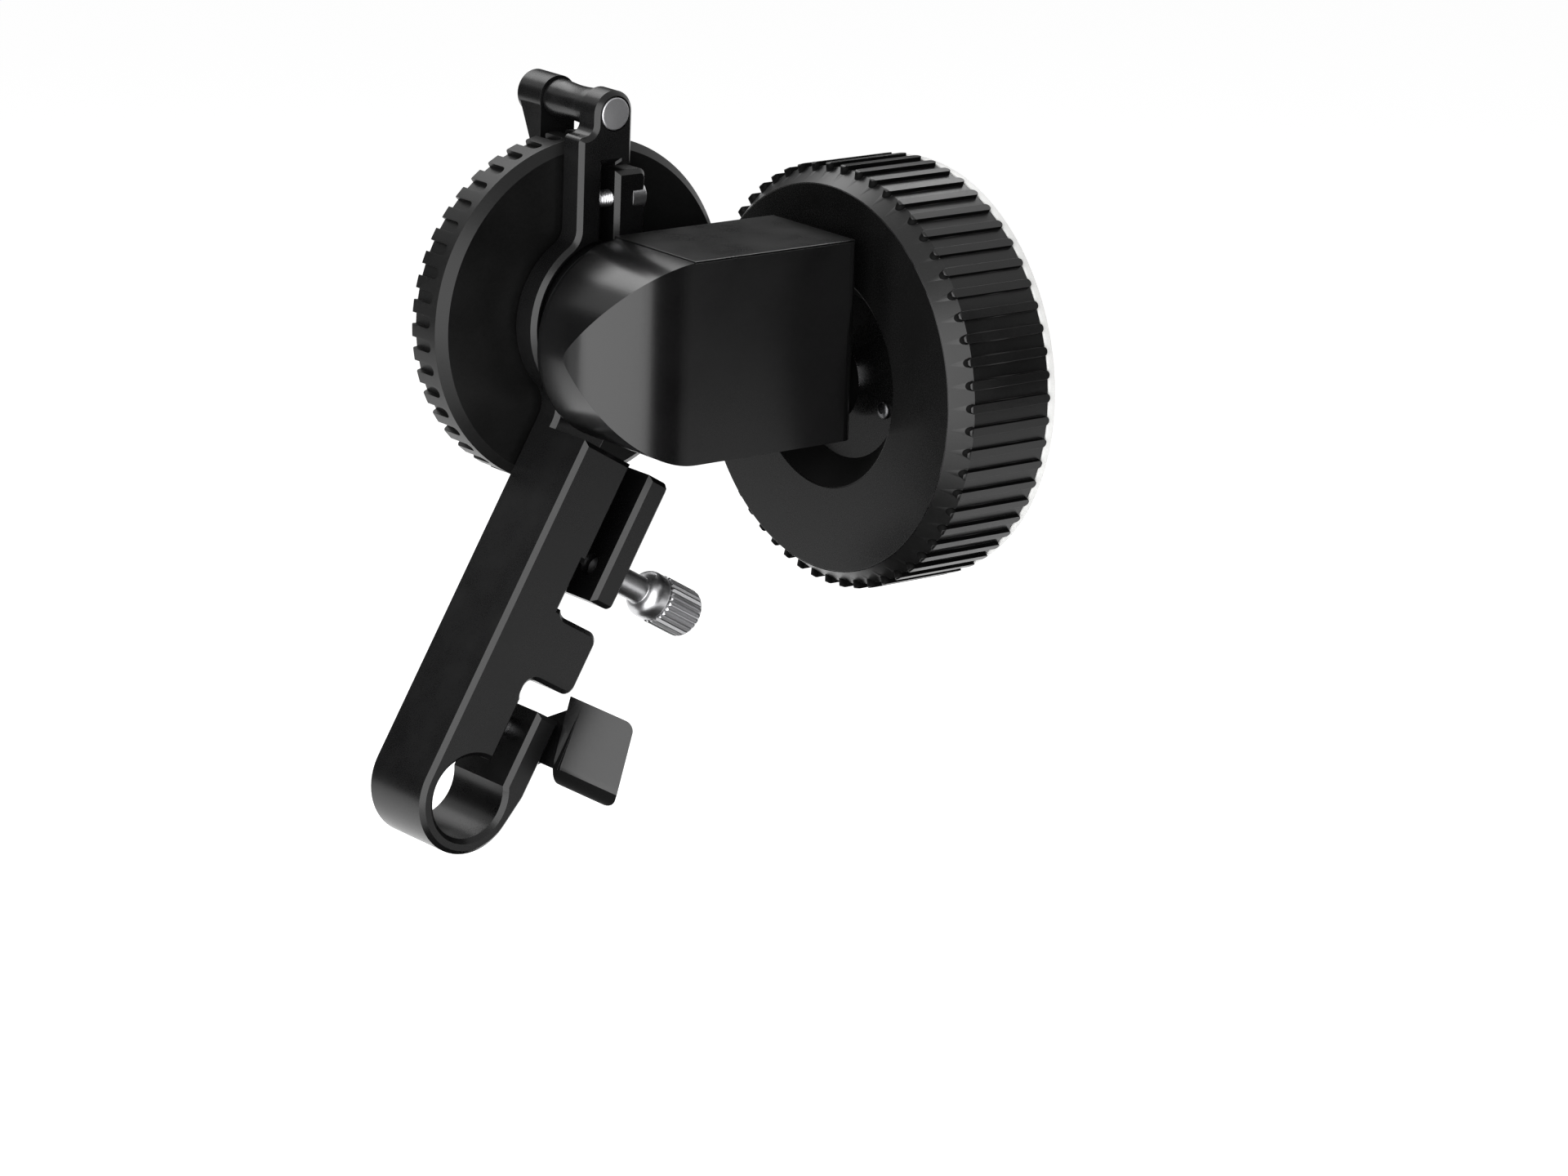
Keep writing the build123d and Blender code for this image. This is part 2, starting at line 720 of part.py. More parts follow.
def spur_gear(teeth, phase, bore, z):
    """A spur gear about a line along X. Its tooth 0 points up when phase is 0."""
    plane = Plane(origin=(spur_left, box_mid_y, z), x_dir=(0, 0, 1), z_dir=(1, 0, 0))
    body = extrude(plane * spur_profile(teeth, phase), spur_width)
    return body - along_x(bore + seat_fit, spur_left, spur_left + spur_width, box_mid_y, z)


def bevel_profile(distance, phase):
    """A mitre gear's section at a distance from the point where both axes meet."""
    slope = math.cos(math.radians(45))
    virtual_radius = bevel_pitch_radius / slope
    virtual_teeth = bevel_teeth / slope
    module = 2 * bevel_pitch_radius / bevel_teeth
    tip = virtual_radius + 0.8 * module
    root = virtual_radius - 1.05 * module
    points = []
    for tooth in range(bevel_teeth):
        turn = 2 * math.pi * (tooth + phase) / bevel_teeth
        for reach, angle in tooth_points(virtual_radius, tip, root, virtual_teeth):
            axial = 2 * bevel_pitch_radius - reach * slope
            radius = reach * slope * distance / axial
            turned = angle / slope + turn
            points.append((radius * math.cos(turned), radius * math.sin(turned)))
    return make_face(Polyline(*points, close=True))


def bevel_gear(plane, phase, bore):
    """A mitre gear on a plane whose origin is the meeting point and whose normal is its axis."""
    near = bevel_pitch_radius - bevel_width
    far = bevel_pitch_radius
    small = plane.offset(near) * bevel_profile(near, phase)
    large = plane.offset(far) * bevel_profile(far, phase)
    body = loft([small, large], ruled=True)
    hub = extrude(plane.offset(far) * Circle(bevel_hub_radius), hub_length)
    hole = extrude(plane.offset(near) * Circle(bore + seat_fit), far + hub_length - near)
    return body + hub - hole


def lay_bevel():
    plane = Plane(origin=(wheel_axis_x, box_mid_y, wheel_axis_z), x_dir=(0, 1, 0), z_dir=(1, 0, 0))
    return bevel_gear(plane, 0, lay_shaft_radius)


def wheel_bevel():
    plane = Plane(origin=(wheel_axis_x, box_mid_y, wheel_axis_z), x_dir=(1, 0, 0), z_dir=(0, 1, 0))
    return bevel_gear(plane, 0.5, stub_radius)


def lay_gear():
    return spur_gear(lay_teeth, 0.5, lay_shaft_radius, wheel_axis_z)


def knob_gear():
    return spur_gear(knob_teeth, 0, lay_shaft_radius, knob_axis_z)


def lay_shaft():
    left = wheel_axis_x + bevel_pitch_radius - bevel_width
    boss_left = box_right - box_end_wall - lay_boss_length
    right = boss_left + small_bearing_width - fit_gap
    return along_x(lay_shaft_radius, left, right, box_mid_y, wheel_axis_z)


# ---------------------------------------------------------------- drive wheel

def wheel_blank():
    """A cup, open to the rear, with a hub."""
    hub_back = wheel_back
    inner_rim = wheel_radius - wheel_rim
    boss_front = box_back + neck_length - bearing_inset + running_fit
    outline = [(boss_front, wheel_shaft_radius + seat_fit), (boss_front, wheel_boss_radius),
               (wheel_front, wheel_boss_radius), (wheel_front, wheel_face_radius),
               (wheel_front + wheel_chamfer, wheel_radius),
               (wheel_back - wheel_back_edge, wheel_radius),
               (wheel_back, wheel_radius - wheel_back_edge), (wheel_back, inner_rim),
               (wheel_front + wheel_web, inner_rim),
               (wheel_front + wheel_web, wheel_hub_radius), (hub_back, wheel_hub_radius),
               (hub_back, wheel_shaft_radius + seat_fit)]
    return turned_y(outline, wheel_axis_x, wheel_axis_z)


def groove_cutter():
    """One groove across the rim, with a round end towards the wheel's face."""
    floor = wheel_radius - groove_depth
    start = wheel_front + groove_start + groove_width / 2
    plane = Plane(origin=(0, 0, floor), x_dir=(0, 1, 0), z_dir=(0, 0, 1))
    shape = Pos(start, 0) * Circle(groove_width / 2)
    shape += rectangle(start, -groove_width / 2, wheel_back + overlap, groove_width / 2)
    return extrude(plane * shape, groove_depth + overlap)


def drive_wheel():
    body = wheel_blank()
    cutter = groove_cutter()
    cutters = []
    for index in range(groove_count):
        turned = Rot(0, 360 * index / groove_count, 0) * cutter
        cutters.append(Pos(wheel_axis_x, 0, wheel_axis_z) * turned)
    return body - cutters


def wheel_shaft():
    """From the bevel gear, through the neck and the wheel, to the rear bush."""
    start = box_mid_y + bevel_pitch_radius - bevel_width
    shoulder = box_mid_y + bevel_pitch_radius + hub_length
    step = wheel_back + clip_thickness + clip_land
    outline = [(start, 0), (start, stub_radius), (shoulder, stub_radius), (shoulder, wheel_shaft_radius),
               (step, wheel_shaft_radius), (step, stub_radius), (rear_back, stub_radius), (rear_back, 0)]
    body = turned_y(outline, wheel_axis_x, wheel_axis_z)
    return body - ring_y(wheel_shaft_radius + overlap, wheel_shaft_radius - clip_seat, wheel_back,
                         wheel_back + clip_thickness, wheel_axis_x, wheel_axis_z)


def wheel_clip():
    """A snap ring that keeps the wheel on its shaft."""
    ring = ring_y(wheel_shaft_radius + clip_width, wheel_shaft_radius - clip_seat + seat_fit, wheel_back,
                  wheel_back + clip_thickness, wheel_axis_x, wheel_axis_z)
    reach = wheel_shaft_radius + clip_width
    half = clip_opening / 2
    low = wheel_axis_z - reach - overlap
    return ring - block(wheel_axis_x - half, wheel_back, low, wheel_axis_x + half,
                        wheel_back + clip_thickness, wheel_axis_z)


# ---------------------------------------------------------------- hand wheel

def knob_body():
    """The hand wheel's core: a ring with a tapered recess, and a seat for the hub."""
    floor = knob_left + recess_depth
    shoulder = knob_right - knob_pocket_depth - hub_flange
    seat = knob_right - disc_seat
    bore = recess_radius - recess_taper
    outline = [(floor, bore), (knob_left, recess_radius), (knob_left, knob_face_radius),
               (knob_right, knob_face_radius), (knob_right, disc_seat_radius),
               (seat, disc_seat_radius), (seat, knob_pocket_radius), (shoulder, knob_pocket_radius),
               (shoulder, bore)]
    return turned_x(outline, box_mid_y, knob_axis_z)


def knob_hub():
    """The plug in the core's middle that sits on the shaft and takes the three hub screws."""
    floor = knob_left + recess_depth
    pocket = knob_right - knob_pocket_depth
    shoulder = pocket - hub_flange
    plug = recess_radius - recess_taper - seat_fit
    flange = knob_pocket_radius - fit_gap
    bore = knob_shaft_radius + seat_fit
    outline = [(floor, bore), (floor, plug), (shoulder, plug), (shoulder, flange),
               (pocket, flange), (pocket, bore)]
    body = turned_x(outline, box_mid_y, knob_axis_z)
    for angle in hub_screw_angles():
        y, z = hub_screw_place(angle)
        body -= along_x(hub_screw_shank + seat_fit, floor, floor + hub_screw_length, y, z)
    return body


def hub_screw_angles():
    return [hub_screw_first + 360 * index / hub_screw_count for index in range(hub_screw_count)]


def hub_screw_place(angle):
    turn = math.radians(angle)
    y = box_mid_y + hub_screw_circle * math.cos(turn)
    return y, knob_axis_z + hub_screw_circle * math.sin(turn)


def hub_screws():
    """Three small screws in the recess's floor."""
    floor = knob_left + recess_depth
    group = []
    for angle in hub_screw_angles():
        y, z = hub_screw_place(angle)
        screw = along_x(hub_screw_radius, floor - hub_screw_head, floor, y, z)
        screw += along_x(hub_screw_shank, floor, floor + hub_screw_length, y, z)
        group.append(screw)
    return Compound(children=group)


def grip_blank():
    """The ring of the grip without its ribs: a bevel, then the valleys' floor and an end band."""
    band = knob_rib_radius - knob_back_edge
    outline = [(knob_left, knob_face_radius + seat_fit), (knob_left + knob_bevel, knob_valley_radius),
               (knob_right - rib_end, knob_valley_radius), (knob_right - rib_end, band),
               (knob_right - knob_back_edge, band), (knob_right, band - knob_back_edge),
               (knob_right, knob_face_radius + seat_fit)]
    return turned_x(outline, box_mid_y, knob_axis_z)


def rib():
    """One rib with a round end, standing on the valleys' floor."""
    start = knob_left + rib_inset + rib_width / 2
    foot = knob_valley_radius - overlap
    plane = Plane(origin=(0, 0, foot), x_dir=(1, 0, 0), z_dir=(0, 0, 1))
    shape = Pos(start, 0) * Circle(rib_width / 2)
    shape += rectangle(start, -rib_width / 2, knob_right - rib_end / 2, rib_width / 2)
    return extrude(plane * shape, knob_rib_radius - foot)


def knob_grip():
    body = grip_blank()
    one = rib()
    ribs = []
    for index in range(rib_count):
        turned = Rot(360 * index / rib_count, 0, 0) * one
        ribs.append(Pos(0, box_mid_y, knob_axis_z) * turned)
    return body + ribs


def marking_disc():
    """A pale disc on the outer face, for focus marks."""
    seat = knob_right - disc_seat
    return ring_x(disc_seat_radius - disc_gap, disc_inner_radius, seat, seat + disc_thickness,
                  box_mid_y, knob_axis_z)


def knob_shaft():
    """From the bearing plate to the hand wheel; thinner where it carries the gear."""
    left = bearing_plate_right - small_bearing_width - shaft_stand
    step = box_right - box_end_wall - knob_step_gap
    floor = knob_left + recess_depth
    end = floor + knob_shaft_reach
    outline = [(left, 0), (left, lay_shaft_radius), (step, lay_shaft_radius), (step, knob_shaft_radius),
               (end, knob_shaft_radius), (end, 0)]
    body = turned_x(outline, box_mid_y, knob_axis_z)
    hole = floor - knob_screw_depth - clamp_screw_gap
    return body - along_x(knob_screw_radius + seat_fit, hole, end + overlap, box_mid_y, knob_axis_z)


def knob_spacer():
    """Keeps the hand wheel off the bearing's outer ring."""
    left = box_right + knob_boss_length
    return ring_x(spacer_radius, knob_shaft_radius + seat_fit, left + 0.05, knob_left + recess_depth,
                  box_mid_y, knob_axis_z)


def knob_screw():
    """A socket screw through the hand wheel's centre into its shaft."""
    face = knob_right - knob_pocket_depth
    floor = knob_left + recess_depth
    body = along_x(knob_screw_radius, floor - knob_screw_depth, face, box_mid_y, knob_axis_z)
    body += along_x(knob_screw_head_radius, face, face + knob_screw_head, box_mid_y, knob_axis_z)
    top = face + knob_screw_head
    plane = Plane(origin=(top, box_mid_y, knob_axis_z), x_dir=(0, 1, 0), z_dir=(-1, 0, 0))
    return body - extrude(plane * RegularPolygon(knob_screw_socket, 6), knob_screw_socket_depth)


# ---------------------------------------------------------------- screws and lever

def ring_clamp_screw():
    """The socket screw that closes the ring on the gearbox's neck."""
    y = plate_front + plate_thickness / 2
    seat = stem_slot_left + stem_slot_width + ear_width - clamp_hole_depth
    end = stem_left + clamp_screw_wall + clamp_screw_gap
    body = along_x(clamp_screw_radius, end, seat, y, clamp_screw_z)
    body += along_x(clamp_head_radius, seat, seat + clamp_head_length, y, clamp_screw_z)
    plane = Plane(origin=(seat + clamp_head_length, y, clamp_screw_z), x_dir=(0, 1, 0), z_dir=(-1, 0, 0))
    return body - extrude(plane * RegularPolygon(clamp_socket, 6), clamp_socket_depth)


def thumb_outline():
    """(across, radius) of the thumbscrew without its knurls."""
    start = slot_left + slot_width - thumb_tip
    neck = arm_right
    head = arm_right + thumb_neck_length
    end = head + thumb_head_length
    body = head + shoulder_length
    groove = thumb_head_radius - thumb_groove
    bulge = thumb_head_radius - shoulder_drop
    thread = thumb_thread_radius
    return [(start, 0), (start, thread - thread_chamfer), (start + thread_chamfer, thread),
            (neck, thread), (neck, thumb_neck_radius), (head - 2 * shoulder_round, thumb_neck_radius),
            (head - shoulder_round, bulge - shoulder_round), (head + shoulder_round, bulge),
            (body - thumb_groove_width - shoulder_round, bulge),
            (body - thumb_groove_width, groove), (body, groove),
            (body, thumb_head_radius), (end - thumb_end_round, thumb_head_radius),
            (end, thumb_head_radius - thumb_end_round), (end, 0)]


def arm_thumbscrew():
    """Straight knurled head, smooth shoulder and thread, turned about a line across the arm."""
    points = [(r, a) for a, r in thumb_outline()]
    blank = revolve(Plane.XZ * make_face(Polyline(*points, close=True)), axis=Axis.Z)
    body_start = arm_right + thumb_neck_length + shoulder_length
    body_end = arm_right + thumb_neck_length + thumb_head_length
    side = 2 * knurl_depth + knurl_extra
    notch_bar = Pos(thumb_head_radius + knurl_extra, 0, (body_start + body_end) / 2) * Rot(0, 0, 45)
    notch_bar *= Box(side, side, body_end - body_start)
    bars = [Rot(0, 0, 360 * index / knurl_count) * notch_bar for index in range(knurl_count)]
    place = ALONG * thumb_along + Vector(0, thumb_y, 0)
    return Pos(*place) * Rot(0, 90 + arm_lean, 0) * (blank - bars)


def lever_washer():
    ring = across_arm(washer_radius, arm_right, arm_right + washer_thickness, lever_along, 0)
    far = lever_plane + overlap
    return ring - across_arm(stud_radius + fit_gap, arm_right - overlap, far, lever_along, 0)


def rod_clamp_stud():
    """The threaded stud that the lever turns."""
    end = lever_plane + lever_hub_length + stud_end_gap
    return across_arm(stud_radius, slot_left - stud_depth + stud_end_gap, end, lever_along, 0)


def paddle_section():
    """A flat that leans out on its way down to a rolled lower edge, in across and along."""
    flat_top = lever_plane + paddle_step
    roll_across = flat_top + paddle_slope + paddle_roll
    upper = Pos(flat_top + paddle_edge, paddle_top - paddle_edge) * Circle(paddle_edge)
    lower = Pos(roll_across, paddle_roll_along) * Circle(paddle_roll)
    return make_hull(upper.edges() + lower.edges())


def paddle_plan():
    """The paddle thins out towards its far end, in across and Y."""
    inner = lever_plane
    outer = lever_plane + paddle_step + paddle_slope
    thick = 2 * paddle_roll
    return make_face(Polyline((inner, -paddle_far), (outer + paddle_thin, -paddle_far),
                              (outer + thick + overlap, -paddle_near), (inner, -paddle_near), close=True))


def paddle_side():
    """The paddle's outline seen from the left, in Y and along, with two rounded corners."""
    low = paddle_roll_along - paddle_roll
    side = rectangle(-paddle_far, low, -paddle_near, paddle_top)
    far = side.vertices().group_by(Axis.X)[0].sort_by(Axis.Y)
    side = fillet(far[-1:], paddle_far_top_round)
    far = side.vertices().group_by(Axis.X)[0].sort_by(Axis.Y)
    return fillet(far[:1], paddle_far_low_round)


def lever_link():
    """The lever's foot: a plate that joins the hub to the paddle, in Y and along."""
    hub = Pos(0, lever_along) * Circle(lever_hub_radius)
    low = paddle_roll_along - paddle_roll + paddle_far_low_round
    end = rectangle(-paddle_near - overlap, low, -paddle_near, paddle_top)
    return make_hull(hub.edges() + end.edges())


def rod_clamp_lever():
    """A paddle that stands out in front of the arm, on a round hub."""
    side_plane = Plane(origin=ACROSS * lever_plane, x_dir=(0, 1, 0), z_dir=ACROSS)
    plan_plane = Plane(origin=(0, 0, 0), x_dir=ACROSS, z_dir=ALONG)
    paddle = arm_slab(paddle_section(), -paddle_far, -paddle_near)
    paddle &= extrude(side_plane * paddle_side(), 3 * paddle_roll + paddle_slope)
    paddle &= extrude(plan_plane * paddle_plan(), paddle_top + overlap)
    link = extrude(side_plane * lever_link(), lever_hub_length)
    end = lever_plane + lever_hub_length
    body = paddle + link
    return body - across_arm(stud_radius + seat_fit, lever_plane - overlap, end + overlap, lever_along, 0)


# ---------------------------------------------------------------- write every piece

NODES = [
    bracket, bridge_tube, bridge_pin, rear_support, rear_bush,
    ring_clamp_screw, arm_thumbscrew, rod_clamp_stud, rod_clamp_lever, lever_washer,
    gearbox_housing, gearbox_neck, knob_boss, top_cover, bearing_plate, lay_bearing_left, lay_bearing_right,
    knob_bearing_inner, knob_bearing_outer, wheel_bearing,
    lay_shaft, lay_bevel, lay_gear,
    drive_wheel, wheel_shaft, wheel_bevel, wheel_clip,
    knob_body, knob_hub, knob_grip, marking_disc, hub_screws,
    knob_shaft, knob_gear, knob_spacer, knob_screw,
]


def main():
    os.makedirs("parts", exist_ok=True)
    for make in NODES:
        export_step(make(), f"parts/{make.__name__}.step")


if __name__ == "__main__":
    main()
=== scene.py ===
"""A follow focus unit: bracket, swivelling gearbox, drive wheel and ribbed hand wheel, dressed for show."""

import logging
import math
from collections.abc import Callable, Iterator, Sequence
from contextlib import contextmanager
from dataclasses import dataclass
from enum import Enum

import bmesh
import bpy
from mathutils import Matrix, Vector

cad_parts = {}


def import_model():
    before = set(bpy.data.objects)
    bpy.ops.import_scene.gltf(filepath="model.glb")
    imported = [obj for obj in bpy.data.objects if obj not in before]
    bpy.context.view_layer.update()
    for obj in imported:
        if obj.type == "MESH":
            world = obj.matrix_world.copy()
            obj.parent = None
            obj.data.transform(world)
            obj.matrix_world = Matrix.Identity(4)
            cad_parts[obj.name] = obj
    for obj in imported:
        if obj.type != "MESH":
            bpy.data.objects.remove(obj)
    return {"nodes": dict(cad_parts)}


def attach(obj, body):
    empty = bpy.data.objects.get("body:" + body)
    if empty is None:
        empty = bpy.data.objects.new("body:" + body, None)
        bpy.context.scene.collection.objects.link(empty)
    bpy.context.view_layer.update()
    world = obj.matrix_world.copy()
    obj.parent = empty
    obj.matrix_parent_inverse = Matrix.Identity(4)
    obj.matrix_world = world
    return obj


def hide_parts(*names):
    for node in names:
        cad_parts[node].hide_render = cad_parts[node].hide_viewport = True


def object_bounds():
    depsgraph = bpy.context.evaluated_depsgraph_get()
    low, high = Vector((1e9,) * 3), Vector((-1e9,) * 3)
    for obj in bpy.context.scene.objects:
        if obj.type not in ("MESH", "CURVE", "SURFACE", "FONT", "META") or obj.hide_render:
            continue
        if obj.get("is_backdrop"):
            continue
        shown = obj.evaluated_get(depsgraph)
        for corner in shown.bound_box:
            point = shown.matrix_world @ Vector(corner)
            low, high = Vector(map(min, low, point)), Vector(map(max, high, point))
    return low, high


log = logging.getLogger("follow_focus")

MM = 0.001
NEAR = 0.01  # millimetres by which a tested place may differ from a named one
HAIR = 0.02  # millimetres of play between fitted pieces, or of overlap between shapes
FACING = 0.9  # least part of a face's normal along an axis that it is said to face
OVER = 1.0  # millimetres by which a cutter stands out of what it cuts
CUT_SEAM = 0.003  # millimetres below which points left by a ring of cuts are merged
SHELL_SEAM = 0.01  # the same for the gearbox's shell
BUMP_STRENGTH = 0.6  # strength of every finish's grain
PATCH_SCALE = 0.02  # fineness of the slow variation, as a share of the grain's
TONE_RANGE = (0.35, 0.65)  # noise values of a finish's dark and light tone
WEAR_RANGE = (0.12, 0.4)  # products of both noises at a finish's lowest and highest roughness

Point = tuple[float, float, float]
Colour = tuple[float, float, float]
Outline = list[tuple[float, float]]
Piece = bpy.types.Object
Socket = bpy.types.NodeSocket
Test = Callable[[Vector, Vector], bool]

RIGHT = Vector((1.0, 0.0, 0.0))
BACK = Vector((0.0, 1.0, 0.0))
UP = Vector((0.0, 0.0, 1.0))
WHITE = (1.0, 1.0, 1.0, 1.0)


# ---------------------------------------------------------------- nodes and finishes


def plug(tree: bpy.types.NodeTree, node: bpy.types.Node, inputs: dict) -> None:
    """Set a node's inputs.

    Args:
        tree: The node tree.
        node: The node.
        inputs: For each input's name or number, a value or the socket that feeds it.
    """
    for name, value in inputs.items():
        if isinstance(value, Socket):
            tree.links.new(value, node.inputs[name])
        else:
            node.inputs[name].default_value = value


def add_node(tree: bpy.types.NodeTree, kind: str, inputs: dict, **settings: object) -> bpy.types.Node:
    """Add a shader node and set it.

    Args:
        tree: The node tree.
        kind: Blender's name of the node type, after "ShaderNode".
        inputs: What its inputs hold, as in plug.
        **settings: Values for the node's properties.

    Returns:
        The new node.
    """
    node = tree.nodes.new(f"ShaderNode{kind}")
    for name, value in settings.items():
        setattr(node, name, value)
    plug(tree, node, inputs)
    return node


@dataclass(frozen=True)
class Finish:
    """One surface finish, made into a node material.

    Attributes:
        name: Name of the material.
        slot: The record's material slot that it stands for; nothing in the script reads it.
        dark: Base colour in the grain's hollows.
        light: Base colour on the grain's crests.
        rough: Lowest and highest roughness.
        specular: Strength of a coated surface's reflection.
        metallic: 1 for bare metal, 0 for a coated or moulded surface.
        grain_size: Size of one grain, in metres.
        relief: Height of the grain, in metres.
    """

    name: str
    slot: str
    dark: Colour
    light: Colour
    rough: tuple[float, float]
    specular: float = 0.3
    metallic: float = 0.0
    grain_size: float = 0.0003
    relief: float = 0.000003

    def material(self) -> bpy.types.Material:
        """Make the material once, and give the same one after that.

        Returns:
            The node material of this finish.
        """
        title = f"{self.name}_finish"
        if title in bpy.data.materials:
            return bpy.data.materials[title]
        made = bpy.data.materials.new(title)
        made.use_nodes = True
        made.diffuse_color = (*self.light, 1.0)
        tree = made.node_tree
        place = add_node(tree, "TexCoord", {}).outputs["Object"]
        fine = self._noise(tree, place, 1.0 / self.grain_size, 3.0)
        broad = self._noise(tree, place, PATCH_SCALE / self.grain_size, 2.0)
        bump = add_node(tree, "Bump", {
            "Strength": BUMP_STRENGTH, "Distance": self.relief, "Height": fine,
        })
        plug(tree, tree.nodes["Principled BSDF"], {
            "Metallic": self.metallic, "Specular IOR Level": self.specular,
            "Base Color": self._colour(tree, fine, broad), "Roughness": self._roughness(tree, fine, broad),
            "Normal": bump.outputs["Normal"],
        })
        return made

    @staticmethod
    def _noise(tree: bpy.types.NodeTree, place: Socket, scale: float, detail: float) -> Socket:
        """Add a noise texture of so many features per metre and octaves."""
        inputs = {"Vector": place, "Scale": scale, "Detail": detail}
        return add_node(tree, "TexNoise", inputs).outputs["Fac"]

    def _colour(self, tree: bpy.types.NodeTree, fine: Socket, broad: Socket) -> Socket:
        """Vary the base colour between the dark and the light tone by both noises.

        Args:
            tree: The node tree.
            fine: Value of the fine grain.
            broad: Value of the slow variation.

        Returns:
            The colour's socket.
        """
        half = add_node(tree, "Math", {0: broad, 1: 0.5}, operation="MULTIPLY")
        both = add_node(tree, "Math", {0: fine, 1: 0.5, 2: half.outputs[0]}, operation="MULTIPLY_ADD")
        ramp = add_node(tree, "ValToRGB", {"Fac": both.outputs[0]})
        for stop, at, tone in zip(ramp.color_ramp.elements, TONE_RANGE, (self.dark, self.light)):
            stop.position = at
            stop.color = (*tone, 1.0)
        return ramp.outputs["Color"]

    def _roughness(self, tree: bpy.types.NodeTree, fine: Socket, broad: Socket) -> Socket:
        """Vary the roughness with handling: smoother patches where fingers rub.

        Args:
            tree: The node tree.
            fine: Value of the fine grain.
            broad: Value of the slow variation.

        Returns:
            The roughness's socket.
        """
        patches = add_node(tree, "Math", {0: fine, 1: broad}, operation="MULTIPLY")
        least, most = WEAR_RANGE
        low, high = self.rough
        return add_node(tree, "MapRange", {
            "Value": patches.outputs[0], "From Min": least, "From Max": most, "To Min": low, "To Max": high,
        }).outputs["Result"]


BLACK_ANODISED = Finish(
    "black_anodised", "black_anodised", (0.0016, 0.0016, 0.0017), (0.0034, 0.0034, 0.0035), (0.26, 0.33),
    specular=0.29, grain_size=0.00018, relief=0.000005,
)
BLACK_SATIN = Finish(
    "black_satin_face", "black_anodised", (0.002, 0.002, 0.0021), (0.0038, 0.0038, 0.0039), (0.2, 0.25),
    specular=0.34, grain_size=0.00025,
)
WHEEL_BLACK = Finish(
    "wheel_black", "black_anodised", (0.0012, 0.0012, 0.0012), (0.0028, 0.0028, 0.0028), (0.25, 0.31),
    specular=0.19,
)
# Darker black with almost no reflection: painted shade. It goes on the lid's sides, the ribs' sides, the
# lever's underside, and the hand wheel's recess wall and boss, where shade falls.
PAINTED_SHADE_BLACK = Finish(
    "matt_black", "black_anodised", (0.001, 0.001, 0.001), (0.002, 0.002, 0.002), (0.5, 0.62),
    specular=0.04,
)
MOULDED_BLACK = Finish(
    "moulded_black", "black_nylon", (0.0022, 0.0022, 0.0022), (0.005, 0.005, 0.005), (0.34, 0.42),
    specular=0.2, relief=0.000007,
)
GRIP_RUBBER = Finish(
    "grip_rubber", "grip_rubber", (0.0022, 0.0022, 0.0022), (0.005, 0.005, 0.005), (0.3, 0.4),
    specular=0.34, relief=0.000008,
)
TURNED_NICKEL = Finish(
    "turned_nickel", "nickel", (0.42, 0.42, 0.43), (0.54, 0.54, 0.55), (0.3, 0.38),
    metallic=1.0, grain_size=0.0002,
)
BRIGHT_STEEL = Finish(
    "bright_steel", "steel", (0.34, 0.34, 0.35), (0.5, 0.5, 0.51), (0.2, 0.32),
    metallic=1.0, relief=0.000004,
)
SATIN_STEEL = Finish(
    "satin_steel", "steel", (0.36, 0.36, 0.37), (0.42, 0.42, 0.43), (0.42, 0.5),
    metallic=1.0, grain_size=0.0002, relief=0.0000015,
)
DARK_STEEL = Finish(
    "dark_steel", "dark_steel", (0.05, 0.05, 0.052), (0.09, 0.09, 0.093), (0.26, 0.36),
    metallic=1.0, relief=0.000004,
)
CUT_BRASS = Finish(
    "cut_brass", "brass", (0.52, 0.36, 0.14), (0.68, 0.5, 0.22), (0.22, 0.34),
    metallic=1.0, relief=0.000005,
)
MILLED_ALUMINIUM = Finish(
    "milled_aluminium", "plain_aluminium", (0.5, 0.5, 0.51), (0.64, 0.64, 0.65), (0.28, 0.4),
    metallic=1.0, relief=0.000005,
)
PALE_PLATE = Finish(
    "pale_plate", "marking_white", (0.62, 0.62, 0.61), (0.7, 0.7, 0.69), (0.4, 0.5),
    specular=0.4, relief=0.000004,
)


# ---------------------------------------------------------------- bench tools


class Joining(Enum):
    """How one solid is combined with another."""

    CUT = "DIFFERENCE"
    WELD = "UNION"
    TRIM = "INTERSECT"


def millimetres(*values: float) -> Vector:
    """Make a point or a step of Blender's metres from millimetres."""
    return Vector(values) * MM


def let_go() -> None:
    """Leave edit mode and deselect everything."""
    if bpy.context.object and bpy.context.object.mode != "OBJECT":
        bpy.ops.object.mode_set(mode="OBJECT")
    bpy.ops.object.select_all(action="DESELECT")


def take(piece: Piece) -> None:
    """Make a piece the only selected and the active one.

    Args:
        piece: The piece to work on.
    """
    let_go()
    piece.select_set(True)
    bpy.context.view_layer.objects.active = piece


@contextmanager
def editing(piece: Piece, mode: str = "VERT", action: str = "DESELECT") -> Iterator[None]:
    """Work on a piece in edit mode.

    Args:
        piece: The piece to edit.
        mode: VERT, EDGE or FACE.
        action: SELECT to start with everything selected, or DESELECT.

    Yields:
        Nothing; edit mode ends with the block.
    """
    take(piece)
    bpy.ops.object.mode_set(mode="EDIT")
    bpy.ops.mesh.select_mode(type=mode)
    bpy.ops.mesh.select_all(action=action)
    try:
        yield
    finally:
        bpy.ops.object.mode_set(mode="OBJECT")


@contextmanager
def faces_of(piece: Piece, test: Test) -> Iterator[None]:
    """Work in edit mode on the faces of a piece that pass a test.

    Args:
        piece: The piece to edit.
        test: Takes a face's centre and normal.

    Yields:
        Nothing; edit mode ends with the block.
    """
    with editing(piece, "FACE"):
        mesh = bmesh.from_edit_mesh(piece.data)
        for face in mesh.faces:
            face.select_set(test(face.calc_center_median(), face.normal))
        mesh.select_flush_mode()
        bmesh.update_edit_mesh(piece.data)
        yield


def settle(piece: Piece) -> None:
    """Put a piece's place, turn and scale into its mesh."""
    take(piece)
    bpy.ops.object.transform_apply(location=True, rotation=True, scale=True)


